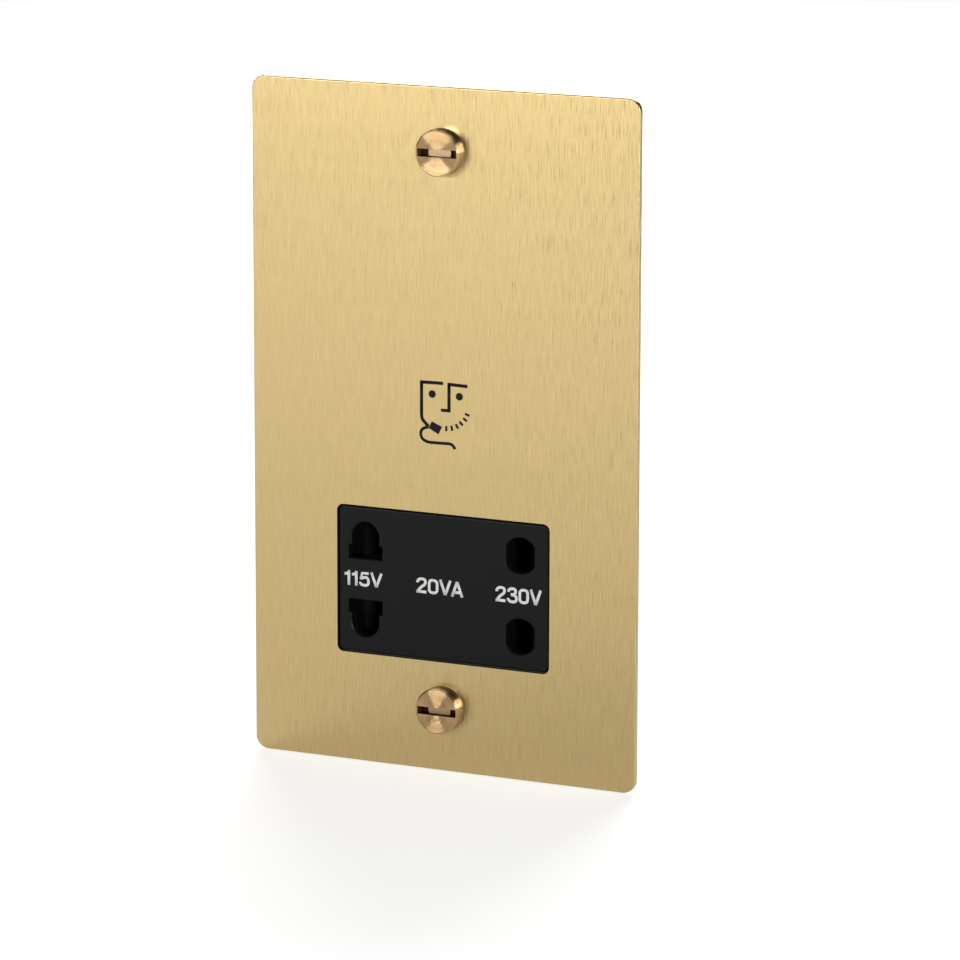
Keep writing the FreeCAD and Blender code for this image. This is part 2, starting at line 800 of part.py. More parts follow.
def tail_hole(across, level):
    """Outline of the slot that one contact's tail passes through."""
    return rectangle(across, level, "contact_thickness + 2 * tail_clearance",
                     "tail_width + 2 * tail_clearance")


def contact_spots():
    """Name, across, level and tail level of the four pin contacts."""
    for volts, across in (("230", "outlet_230_across"), ("115", "-outlet_115_across")):
        for side, name in ((1, "upper"), (-1, "lower")):
            yield (f"contact_{volts}_{name}", across,
                   f"socket_level + {side} * pin_rise", f"socket_level + {side} * tail_level")


def switch_spots():
    """Name and level of the two fixed switch contacts."""
    for side, name in ((-1, "live"), (1, "load")):
        yield f"switch_contact_{name}", f"socket_level + switch_rise + {side} * switch_pitch / 2"


def make_contact_block():
    """Moulding with a chamber for each contact and the rails that guide the slider."""
    body = keep(new_body("contact_block"))
    width = "cavity_width - 2 * block_fit"
    height = "cavity_height - 2 * block_fit"
    pad_back(body, "block_front", "block_back", rectangle("0", "socket_level", width, height))
    rail_level = "(cavity_height / 2 - block_fit - rail_width / 2)"
    pad_back(body, "base_thickness + rail_gap", "block_front",
             *[rectangle("0", f"socket_level + {side} * {rail_level}", width, "rail_width")
               for side in (-1, 1)])
    chambers = []
    for side in (-1, 1):
        level = f"socket_level + {side} * pin_rise"
        chambers.append(rectangle("outlet_230_across", level,
                                  "chamber_230_width", "chamber_height"))
        chambers.append(rectangle("-outlet_115_across", level,
                                  "chamber_115_width", "chamber_height"))
    cut_back(body, "block_front", "chamber_back", *chambers)
    fit = "2 * switch_pocket_fit"
    cut_back(body, "block_front", "block_front + spring_diameter / 2 - shutter_thickness / 2",
             rectangle("0", "socket_level", "spring_length + 2 * spring_gap",
                       "spring_diameter + 2 * spring_gap"))
    cut_back(body, "block_front", "switch_strip_back",
             *[rectangle("0", level, "2 * switch_half_length + " + fit, "switch_height + " + fit)
               for name, level in switch_spots()])
    cut_back(body, "block_front", "block_back + 1",
             *[tail_hole(across, tail) for name, across, level, tail in contact_spots()],
             *[tail_hole("0", level) for name, level in switch_spots()])


def make_contacts():
    """Sprung U-shaped contacts whose two leaves grip a pin, each with a tail for its lead."""
    t = "contact_thickness"
    waist = "contact_front + contact_waist_run"
    for name, across, level, tail in contact_spots():
        def spot(half, depth, side):
            return f"{across} + {side} * ({half})", depth

        inner = [("contact_mouth / 2", "contact_front"), ("contact_waist / 2", waist),
                 ("contact_heel / 2", f"chamber_back - {t}")]
        outer = [(f"contact_heel / 2 + {t}", "chamber_back"), (f"contact_waist / 2 + {t}", waist),
                 (f"contact_mouth / 2 + {t}", "contact_front")]
        left = [spot(half, depth, -1) for half, depth in inner]
        right = [spot(half, depth, 1) for half, depth in reversed(inner)]
        far_right = [spot(half, depth, 1) for half, depth in reversed(outer)]
        far_left = [spot(half, depth, -1) for half, depth in outer]
        body = keep(new_body(name))
        pad_up(body, f"{level} - contact_height / 2", f"{level} + contact_height / 2",
               polygon(*left, *right, *far_right, *far_left))
        pad_back(body, f"chamber_back - {t}", "tail_back",
                 rectangle(across, tail, t, "tail_width"))

    link = keep(new_body("common_link"))
    pad_back(link, "tail_back", "tail_back + link_thickness",
             polygon(("-outlet_115_across - link_overhang",
                      "socket_level - tail_level - link_height / 2"),
                     ("outlet_230_across + link_overhang",
                      "socket_level - tail_level - link_height / 2"),
                     ("outlet_230_across + link_overhang",
                      "socket_level - tail_level + link_height / 2"),
                     ("-outlet_115_across - link_overhang",
                      "socket_level - tail_level + link_height / 2")))


def make_switch_contacts():
    """Two fixed strips: the wiper bridges their raised ends once the slider has moved."""
    half = "switch_half_length"
    gap = "switch_gap"
    for name, level in switch_spots():
        body = keep(new_body(name))
        pad_up(body, f"{level} - switch_height / 2", f"{level} + switch_height / 2",
               polygon((f"-{half}", "block_front"), (f"-{gap}", "block_front"),
                       (f"-{gap}", "switch_pad_back"), (gap, "switch_pad_back"),
                       (gap, "block_front"), (half, "block_front"),
                       (half, "switch_strip_back"), (f"-{half}", "switch_strip_back")))
        pad_back(body, "switch_pad_back", "tail_back",
                 rectangle("0", level, "contact_thickness", "switch_height"))


def ear_spots():
    """Across, level and side of the four screwed ears on the mechanism box."""
    for side, across in ((1, "ear_upper_across"), (-1, "ear_lower_across")):
        for hand in (-1, 1):
            yield f"{hand} * {across}", f"socket_level + {side} * ear_level"


def ears():
    """Outlines of the ears, which the chassis and the cover share."""
    return [rectangle(across, level, "ear_width", "ear_reach + ear_overlap", "ear_corner")
            for across, level in ear_spots()]


def cell_spots():
    """Name and across of the three supply terminals."""
    return (("earth", "-cell_pitch"), ("live", "0"), ("neutral", "cell_pitch"))


def make_rear_cover():
    """Cover of the mechanism box, with three terminal cells moulded on its back."""
    body = keep(new_body("rear_cover"))
    pad_back(body, "block_back", "cover_back",
             rectangle("0", "socket_level", "module_width", "box_height", "cover_corner"))
    pad_back(body, "block_back", "cover_back", *ears())
    bank_width = "2 * cell_pitch + cell_width + 2 * cell_wall"
    pad_back(body, "cover_back", "cell_back",
             rectangle("0", "(cell_bottom + cell_top) / 2", bank_width, "cell_height"))
    inside = "cell_height - cell_wall"
    cut_back(body, "cell_floor_back", "cell_back + 1",
             *[rectangle(across, f"cell_bottom + ({inside}) / 2 - 0.5", "cell_width",
                         f"{inside} + 1") for name, across in cell_spots()])
    cut_back(body, "terminal_middle - cell_notch_width / 2", "cell_back + 1",
             *[rectangle(across, "cell_top - cell_wall / 2", "cell_notch_width", "cell_wall + 1")
               for name, across in cell_spots()])
    hole = "cover_screw_diameter + 2 * hole_clearance"
    cut_back(body, "block_back - 1", "cover_back + 1",
             *[tail_hole(across, tail) for name, across, level, tail in contact_spots()],
             *[rectangle("0", level, "contact_thickness + 2 * tail_clearance",
                         "switch_height + 2 * tail_clearance") for name, level in switch_spots()],
             *[circle(across, level, hole) for across, level in ear_spots()])


def slotted_screw(label, across, level, seat, length, diameter, head, head_height, slot):
    """A cheese-head screw seated at a depth and pointing to the front."""
    body = new_body(label)
    turn(body, across, level,
         (f"{seat} - {length}", "0"),
         (f"{seat} - {length}", f"{diameter} / 2"),
         (seat, f"{diameter} / 2"),
         (seat, f"{head} / 2"),
         (f"{seat} + {head_height}", f"{head} / 2"),
         (f"{seat} + {head_height}", "0"))
    cut_back(body, f"{seat} + {head_height} / 2", f"{seat} + {head_height} + 1",
             rectangle(across, level, f"{head} + 1", slot))
    return body


def make_cover_screws():
    """Four screws through the cover's ears into the chassis."""
    group("cover_screws", [
        slotted_screw(f"cover_screw_{i}", across, level, "cover_back", "cover_screw_length",
                      "cover_screw_diameter", "cover_screw_head", "cover_screw_head_height",
                      "cover_screw_slot")
        for i, (across, level) in enumerate(ear_spots())])


def make_terminals():
    """A drilled brass pillar in each cell, with the screw that clamps the supply wire."""
    screws = []
    for name, across in cell_spots():
        half = "terminal_width / 2"
        pillar = block_between(
            "pillar_" + name, (f"{across} - {half}", f"{across} + {half}"),
            ("cell_floor_back", "terminal_back"), ("terminal_bottom", "terminal_top"))
        wire_hole = doc.addObject("Part::Cylinder", "wire_hole_" + name)
        wire_hole.setExpression("Radius", formula("terminal_bore / 2"))
        wire_hole.setExpression("Height", formula("terminal_height - terminal_lift"))
        wire_hole.setExpression("Placement.Base.x", formula(across))
        wire_hole.setExpression("Placement.Base.y", formula("terminal_middle"))
        wire_hole.setExpression("Placement.Base.z", formula("terminal_bottom"))
        level = "(terminal_bottom + terminal_top) / 2"
        tapped = rod_back("tapped_" + name, across, level, "terminal_middle", "terminal_back",
                          "screw_diameter + 2 * thread_clearance")
        keep(subtract("terminal_" + name, pillar, wire_hole, tapped), "terminal_" + name)
        screws.append(slotted_screw(
            "terminal_screw_" + name, across, level, "terminal_back", "terminal_screw_length",
            "screw_diameter", "terminal_screw_head", "terminal_screw_head_height",
            "terminal_screw_slot"))
    group("terminal_screws", screws)


def core_hole_spots():
    """Across and level of the core's four corner holes."""
    return [(f"{hand} * hole_across", f"core_level + {side} * hole_rise")
            for side in (1, -1) for hand in (-1, 1)]


def make_chassis():
    """Moulded tray behind the plate: mechanism box below, transformer posts above."""
    body = keep(new_body("chassis"))
    pad_back(body, "0", "base_thickness",
             rectangle("0", "(base_top + base_bottom) / 2", "module_width",
                       "base_top - base_bottom", "base_corner"))
    pad_back(body, "base_thickness", "block_back",
             rectangle("0", "socket_level", "module_width", "box_height", "cover_corner"))
    pad_back(body, "base_thickness", "block_back", *ears())
    skirt_bottom = "box_top + skirt_gap"
    skirt_middle = f"(base_top + {skirt_bottom}) / 2"
    skirt_length = f"base_top - ({skirt_bottom})"
    pad_back(body, "base_thickness", "base_thickness + skirt_height",
             rectangle("0", skirt_middle, "module_width", skirt_length, "base_corner"))
    cut_back(body, "base_thickness", "base_thickness + skirt_height + 1",
             rectangle("0", skirt_middle, "module_width - 2 * skirt_thickness",
                       f"{skirt_length} - 2 * skirt_thickness", "base_corner - skirt_thickness"))
    cut_back(body, "base_thickness", "block_back + 1",
             rectangle("0", "socket_level", "cavity_width", "cavity_height"))
    cut_back(body, "-1", "flange_thickness",
             rectangle("0", "socket_level", "opening_width + 2 * (flange_lap + flange_gap)",
                       "cavity_height + 2 * (flange_lap + flange_gap)",
                       "flange_corner + flange_gap"))
    cut_back(body, "-1", "base_thickness + 1",
             rectangle("0", "socket_level", "opening_width", "cavity_height"))
    web = "post_web_thickness"
    pad_back(body, "base_thickness", "base_thickness + post_web_height",
             *[rectangle("0", f"core_level + {side} * hole_rise",
                         "2 * hole_across", web) for side in (-1, 1)])
    pad_back(body, "base_thickness", "core_front",
             *[circle(across, level, "post_diameter") for across, level in core_hole_spots()])
    cut_back(body, "base_thickness", "core_front + 1",
             *[circle(across, level, "core_screw_diameter + 2 * thread_clearance")
               for across, level in core_hole_spots()])
    cut_back(body, "cover_back - cover_screw_length", "block_back + 1",
             *[circle(across, level, "cover_screw_diameter + 2 * thread_clearance")
               for across, level in ear_spots()])
    cut_back(body, "-1", "base_thickness + 1",
             *[circle(across, level, "stud_diameter + 2 * hole_clearance")
               for across, level, packing in stud_spots()])
    cut_back(body, "-1", "base_thickness + skirt_height + 1",
             *[circle("0", f"{side} * fixing_level", "lug_clearance") for side in (-1, 1)])


def make_core():
    """Laminated E and I core with its two winding windows and four corner holes."""
    body = keep(new_body("transformer_core"))
    pad_back(body, "core_front", "core_back",
             rectangle("0", "core_level", "core_width", "core_height", "core_corner"))
    window = "(core_leg + core_window) / 2"
    hole = "core_screw_diameter + 2 * hole_clearance"
    cut_back(body, "core_front - 1", "core_back + 1",
             *[rectangle(f"{hand} * {window}", "core_level", "core_window", "2 * window_rise")
               for hand in (-1, 1)],
             *[circle(across, level, hole) for across, level in core_hole_spots()])

    washers = []
    for i, (across, level) in enumerate(core_hole_spots()):
        back = "core_back + core_washer_thickness"
        washers.append(subtract(
            f"core_washer_{i}",
            rod_back(f"core_washer_disc_{i}", across, level, "core_back", back,
                     "core_washer_diameter"),
            rod_back(f"core_washer_bore_{i}", across, level, "core_back", back,
                     "core_screw_diameter + 2 * thread_clearance")))
    group("core_washers", washers)
    group("core_screws", [
        slotted_screw(f"core_screw_{i}", across, level, "core_back + core_washer_thickness",
                      "core_screw_length", "core_screw_diameter", "core_screw_head",
                      "core_screw_head_height", "core_screw_slot")
        for i, (across, level) in enumerate(core_hole_spots())])


def make_bobbin():
    """Two-section former on the centre leg, with a ledge of tags at each end."""
    body = keep(new_body("bobbin"))
    low, high = "core_level - bobbin_rise", "core_level + bobbin_rise"
    middle = "core_middle"
    pad_up(body, low, high, rectangle("0", middle, "tube_width", "tube_depth"))
    for bottom, top in ((low, f"{low} + bobbin_flange"),
                        ("core_level - bobbin_flange / 2", "core_level + bobbin_flange / 2"),
                        (f"{high} - bobbin_flange", high)):
        pad_up(body, bottom, top,
               rectangle("0", middle, "2 * flange_half", "flange_depth", "bobbin_corner"))
    for side in (-1, 1):
        reach = f"core_level + {side} * (bobbin_rise + ledge_end) / 2"
        pad_back(body, "ledge_front", "ledge_back",
                 rectangle("0", reach, "2 * ledge_half_width", "ledge_end - bobbin_rise"))
    cut_up(body, f"{low} - 1", f"{high} + 1",
           rectangle("0", middle, "core_leg + 2 * bobbin_fit", "core_stack + 2 * bobbin_fit"))
    for side, tags in ((1, 2), (-1, 3)):
        sockets = []
        for across in tag_places(tags):
            sockets.append(rectangle(across, "ledge_middle", "tag_width", "tag_thickness"))
        root = f"core_level + {side} * (ledge_end - tag_root)"
        tip = f"core_level + {side} * (ledge_end + 1)"
        cut_up(body, *((root, tip) if side > 0 else (tip, root)), *sockets)


def tag_places(count):
    """Across of each solder tag on a ledge."""
    return [f"{2 * i - count + 1} * tag_pitch / 2" for i in range(count)]


def make_windings():
    """Primary above and secondary below the middle flange, each wrapped in tape."""
    for side, name, count in ((1, "primary", 2), (-1, "secondary", 3)):
        inner = f"core_level + {side} * bobbin_flange / 2"
        outer = f"core_level + {side} * (bobbin_rise - bobbin_flange)"
        span = (inner, outer) if side > 0 else (outer, inner)
        winding = keep(new_body(name + "_winding"))
        coil = rectangle("0", "core_middle", "winding_width", "winding_depth", "winding_corner")
        pad_up(winding, *span, coil)
        cut_up(winding, f"({span[0]}) - 1", f"({span[1]}) + 1",
               rectangle("0", "core_middle", "tube_width", "tube_depth"))
        tape = keep(new_body(name + "_tape"))
        pad_up(tape, *span,
               rectangle("0", "core_middle", "winding_width + 2 * tape_thickness",
                         "winding_depth + 2 * tape_thickness",
                         "winding_corner + tape_thickness"))
        cut_up(tape, f"({span[0]}) - 1", f"({span[1]}) + 1", coil)

        root = f"core_level + {side} * (ledge_end - tag_root)"
        tip = f"core_level + {side} * tag_end"
        tags = []
        for i, across in enumerate(tag_places(count)):
            tags.append(block_between(
                f"{name}_tag_{i}",
                (f"{across} - tag_width / 2", f"{across} + tag_width / 2"),
                ("ledge_middle - tag_thickness / 2", "ledge_middle + tag_thickness / 2"),
                (root, tip) if side > 0 else (tip, root)))
        group(name + "_tags", tags)

    cutout = keep(new_body("thermal_cutout"))
    pad_back(cutout, "core_back", "core_back + cutout_height",
             rectangle("-cutout_across", "core_level", "cutout_width", "cutout_length",
                       "cutout_corner"))


def make_earth_tag():
    """Ring tag under one nut, its tongue turned back into a crimp barrel."""
    across, level = "-stud_across", "lower_stud_level"
    back = "base_thickness + tag_plate_thickness"
    heel = f"{level} - tag_tongue_reach"
    half = "tag_tongue_width / 2"
    ring = rod_back("tag_ring", across, level, "base_thickness", back, "tag_ring_diameter")
    tongue = block_between(
        "tag_tongue", (f"{across} - {half}", f"{across} + {half}"),
        ("base_thickness", back), (heel, level))
    upright = block_between(
        "tag_upright", (f"{across} - {half}", f"{across} + {half}"),
        ("base_thickness", "tag_barrel_start + 1"), (heel, f"{heel} + tag_plate_thickness"))
    barrel = rod_back("tag_barrel", across, f"{heel} - tag_barrel_diameter / 2 + "
                      "tag_plate_thickness", "tag_barrel_start",
                      "tag_barrel_start + tag_barrel_length", "tag_barrel_diameter")
    bore = rod_back("tag_bore", across, level, "base_thickness", back,
                    "stud_diameter + 2 * thread_clearance")
    keep(subtract("earth_tag", join("tag_blank", ring, tongue, upright, barrel), bore),
         "earth_tag")


def make_lead(label, spots):
    """A round lead through its spots: straight runs joined by tangent arcs."""
    spots = [point(*spot) for spot in spots]
    edges = []
    start = spots[0]
    radii = []
    for before, corner, after in zip(spots, spots[1:], spots[2:]):
        arriving = (corner - before).normalize()
        leaving = (after - corner).normalize()
        half_turn = arriving.getAngle(leaving) / 2
        setback = 0.45 * min((corner - before).Length, (after - corner).Length)
        radius = setback / math.tan(half_turn)
        radii.append(radius)
        enter = corner - arriving * setback
        leave = corner + leaving * setback
        inward = (leaving - arriving).normalize()
        middle = corner + inward * (radius / math.cos(half_turn) - radius)
        edges.append(Part.LineSegment(start, enter).toShape())
        edges.append(Part.Arc(enter, middle, leave).toShape())
        start = leave
    edges.append(Part.LineSegment(start, spots[-1]).toShape())
    path = Part.Wire(edges)
    radius = value("lead_diameter") / 2
    section = Part.Wire(Part.Circle(spots[0], spots[1] - spots[0], radius).toShape())
    tube = path.makePipeShell([section], True, True)
    expected = math.pi * radius ** 2 * path.Length
    if abs(tube.Volume - expected) > 0.02 * expected:
        raise RuntimeError(f"{label} has the volume {tube.Volume}, not {expected}")
    print(label, f"{path.Length:.1f} mm long, bends", [round(r, 1) for r in radii])
    lead = doc.addObject("Part::Feature", "Lead_" + label)
    lead.Shape = tube
    keep(lead, label)


def make_leads():
    """The unit's own wiring, from the terminals through the works and back to the contacts."""
    over = "core_back + core_washer_thickness + core_screw_head_height + lead_gap"
    tail = "tail_back"
    inward = "terminal_middle"
    side = "hole_across"
    top = "core_level + tag_end"
    foot = "core_level - tag_end"
    below = "core_level - core_height / 2 - lead_gap"
    tags = "ledge_middle"
    live_tail = "socket_level + switch_rise - switch_pitch / 2"
    load_tail = "socket_level + switch_rise + switch_pitch / 2"
    cutout_middle = "core_back + cutout_height / 2"
    cutout_top = "core_level + cutout_length / 2"
    cutout_foot = "core_level - cutout_length / 2"
    upper_tail = "socket_level + tail_level"
    lower_link = "socket_level - tail_level"

    bend = "lead_bend"
    make_lead("lead_live", [
        ("0", inward, "terminal_top"),
        ("0", inward, f"terminal_top + 1.25 * {bend}"),
        ("0", f"{inward} + {bend} / 4", f"{live_tail} - {bend}"),
        ("0", f"{inward} - {bend} / 8", live_tail),
        ("0", tail, live_tail)])
    make_lead("lead_switched", [
        ("0", tail, load_tail),
        ("0", f"{tail} + {bend}", load_tail),
        (f"-2 * {bend}", f"{tail} + 1.25 * {bend}", f"box_top + {bend} / 4"),
        (f"-{side} + {bend}", f"{tail} + 1.25 * {bend}", f"{below} - 1.25 * {bend}"),
        (f"-{side}", f"{tail} + 1.75 * {bend}", f"{below} - {bend} / 2"),
        (f"-{side}", over, f"{below} + {bend} / 4"),
        (f"-{side}", over, f"{cutout_foot} - 1.25 * {bend}"),
        (f"-{side}", cutout_middle, f"{cutout_foot} - 0.6 * {bend}"),
        (f"-{side}", cutout_middle, cutout_foot)])
    make_lead("lead_cutout", [
        (f"-{side}", cutout_middle, cutout_top),
        (f"-{side}", cutout_middle, f"{cutout_top} + 0.6 * {bend}"),
        (f"-{side}", over, f"{cutout_top} + 1.25 * {bend}"),
        (f"-{side}", over, f"{top} + {bend} / 4"),
        (f"-{side} + {bend}", tags, f"{top} + {bend}"),
        (f"-tag_pitch / 2 - 0.75 * {bend}", tags, f"{top} + {bend}"),
        ("-tag_pitch / 2", tags, f"{top} + {bend} / 2"),
        ("-tag_pitch / 2", tags, top)])
    make_lead("lead_neutral", [
        ("tag_pitch / 2", tags, top),
        ("tag_pitch / 2", tags, f"{top} + {bend} / 2"),
        (f"tag_pitch / 2 + 0.75 * {bend}", tags, f"{top} + {bend}"),
        (f"{side} - {bend}", tags, f"{top} + {bend}"),
        (side, over, f"{top} + {bend} / 4"),
        (side, over, f"{below} + {bend} / 4"),
        (side, f"{tail} + 1.75 * {bend}", f"{below} - {bend} / 2"),
        (f"{side} - {bend}", f"{tail} + {bend}", f"{below} - 1.75 * {bend}"),
        ("cell_pitch", f"{tail} + {bend}", f"box_top - 1.5 * {bend}"),
        ("cell_pitch", inward, f"terminal_top + 1.25 * {bend}"),
        ("cell_pitch", inward, "terminal_top")])
    make_lead("lead_common", [
        ("0", tags, foot),
        ("0", tags, f"{foot} - {bend}"),
        (f"1.5 * {bend}", f"{tags} - {bend} / 4", f"{foot} - 2.75 * {bend}"),
        (f"1.5 * {bend}", f"{tags} - {bend} / 2", f"{lower_link} + 1.5 * {bend}"),
        (f"1.5 * {bend}", f"{tags} - 1.25 * {bend}", lower_link),
        (f"1.5 * {bend}", f"{tail} + link_thickness", lower_link)])
    for name, hand, across in (("lead_115", -1, "-outlet_115_across"),
                               ("lead_230", 1, "outlet_230_across")):
        make_lead(name, [
            (f"{hand} * tag_pitch", tags, foot),
            (f"{hand} * tag_pitch", tags, f"{foot} - {bend}"),
            (across, f"{tags} - {bend} / 8", f"{foot} - 3 * {bend}"),
            (across, f"{tags} - 0.4 * {bend}", f"{upper_tail} + 1.5 * {bend}"),
            (across, f"{tags} - 1.25 * {bend}", upper_tail),
            (across, tail, upper_tail)])
    barrel_level = ("lower_stud_level - tag_tongue_reach - tag_barrel_diameter / 2 "
                    "+ tag_plate_thickness")
    make_lead("lead_earth", [
        ("-cell_pitch", inward, "terminal_top"),
        ("-cell_pitch", inward, f"terminal_top + {bend}"),
        (f"-cell_pitch - {bend}", f"{inward} + {bend} / 2", f"cell_top + 1.25 * {bend}"),
        (f"-stud_across + {bend} / 4", f"{inward} + {bend} / 2", f"cell_top + 0.75 * {bend}"),
        ("-stud_across", f"{inward} + {bend} / 4", f"cell_bottom + {bend} / 2"),
        ("-stud_across", f"{inward} - 0.75 * {bend}", barrel_level),
        ("-stud_across", "tag_barrel_start + tag_barrel_length", barrel_level)])


def check_document():
    """Stop on a failed object, a cut that removed nothing or a bad shape."""
    for item in doc.Objects:
        if "Invalid" in item.State or "Error" in item.State:
            raise RuntimeError(f"{item.Label} failed: {item.State}")
    for pocket in cuts:
        if pocket.Shape.Volume > pocket.BaseFeature.Shape.Volume - 1e-3:
            raise RuntimeError(f"{pocket.Label} removed nothing")
    for piece in nodes:
        shape = piece.Shape
        if shape.isNull() or not shape.isValid() or not shape.Solids:
            raise RuntimeError(f"{piece.Label} has no valid solid")


def write_parts():
    """Write each node to its own file."""
    os.makedirs("parts", exist_ok=True)
    for piece in nodes:
        piece.Shape.exportStep(f"parts/{piece.Label}.step")
        print(piece.Label, len(piece.Shape.Solids), f"{piece.Shape.Volume:.1f} mm3")


make_front_plate()
make_fixings()
make_stud_set()
make_socket_face()
make_shutter()
make_spring()
make_contact_block()
make_contacts()
make_switch_contacts()
make_rear_cover()
make_cover_screws()
make_terminals()
make_chassis()
make_core()
make_bobbin()
make_windings()
make_earth_tag()
make_leads()
doc.recompute()
check_document()
write_parts()
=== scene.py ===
"""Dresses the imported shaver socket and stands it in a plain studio.

The solids keep their shapes and get their finishes. Printed marks, cut threads, a wound spring
and solder are added. The pieces' sizes are in millimetres and the studio's in metres.
"""

import json
import logging
import math
from dataclasses import dataclass
from enum import Enum
from functools import cache

import bpy
from mathutils import Matrix, Vector


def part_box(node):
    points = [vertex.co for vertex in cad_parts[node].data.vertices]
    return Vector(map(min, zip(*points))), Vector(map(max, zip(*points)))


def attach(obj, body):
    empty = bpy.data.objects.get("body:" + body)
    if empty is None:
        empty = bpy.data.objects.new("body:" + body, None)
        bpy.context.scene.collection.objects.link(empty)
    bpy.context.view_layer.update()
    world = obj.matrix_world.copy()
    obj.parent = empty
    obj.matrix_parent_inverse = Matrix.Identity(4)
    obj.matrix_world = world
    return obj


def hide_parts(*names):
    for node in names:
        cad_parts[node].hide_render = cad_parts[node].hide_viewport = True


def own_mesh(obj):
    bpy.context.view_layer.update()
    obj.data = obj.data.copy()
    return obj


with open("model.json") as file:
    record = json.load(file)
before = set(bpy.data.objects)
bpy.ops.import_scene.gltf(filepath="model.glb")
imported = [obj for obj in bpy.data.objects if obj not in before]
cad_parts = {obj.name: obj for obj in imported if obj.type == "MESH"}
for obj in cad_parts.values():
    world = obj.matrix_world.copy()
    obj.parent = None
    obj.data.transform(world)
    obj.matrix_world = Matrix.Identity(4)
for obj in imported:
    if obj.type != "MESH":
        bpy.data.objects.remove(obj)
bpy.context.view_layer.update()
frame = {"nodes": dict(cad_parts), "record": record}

MM = 0.001
FIXED = "fixed"
SOCKET_LEVEL = -33.8
FIXING_LEVEL = 60.3
# Doubles this near are merged, and a rim's points lie this near to its depth, in millimetres
SEAM = 0.001
NEAR = 0.01
# Edges flatter than this are shaded smooth
SMOOTH_ANGLE = math.radians(35)
LOG = logging.getLogger("shaver_socket")

Colour = tuple[float, float, float]
Triple = tuple[float, float, float]
Spot = tuple[float, float]


class Run(Enum):
    """How a printed stroke runs between its points."""

    STRAIGHT = "POLY"
    CURVED = "NURBS"


# Node groups that several finishes share


def link(tree: bpy.types.NodeTree, pairs: tuple) -> None:
    """Link each pair of sockets in a node tree, from the first to the second."""
    for source, target in pairs:
        tree.links.new(source, target)


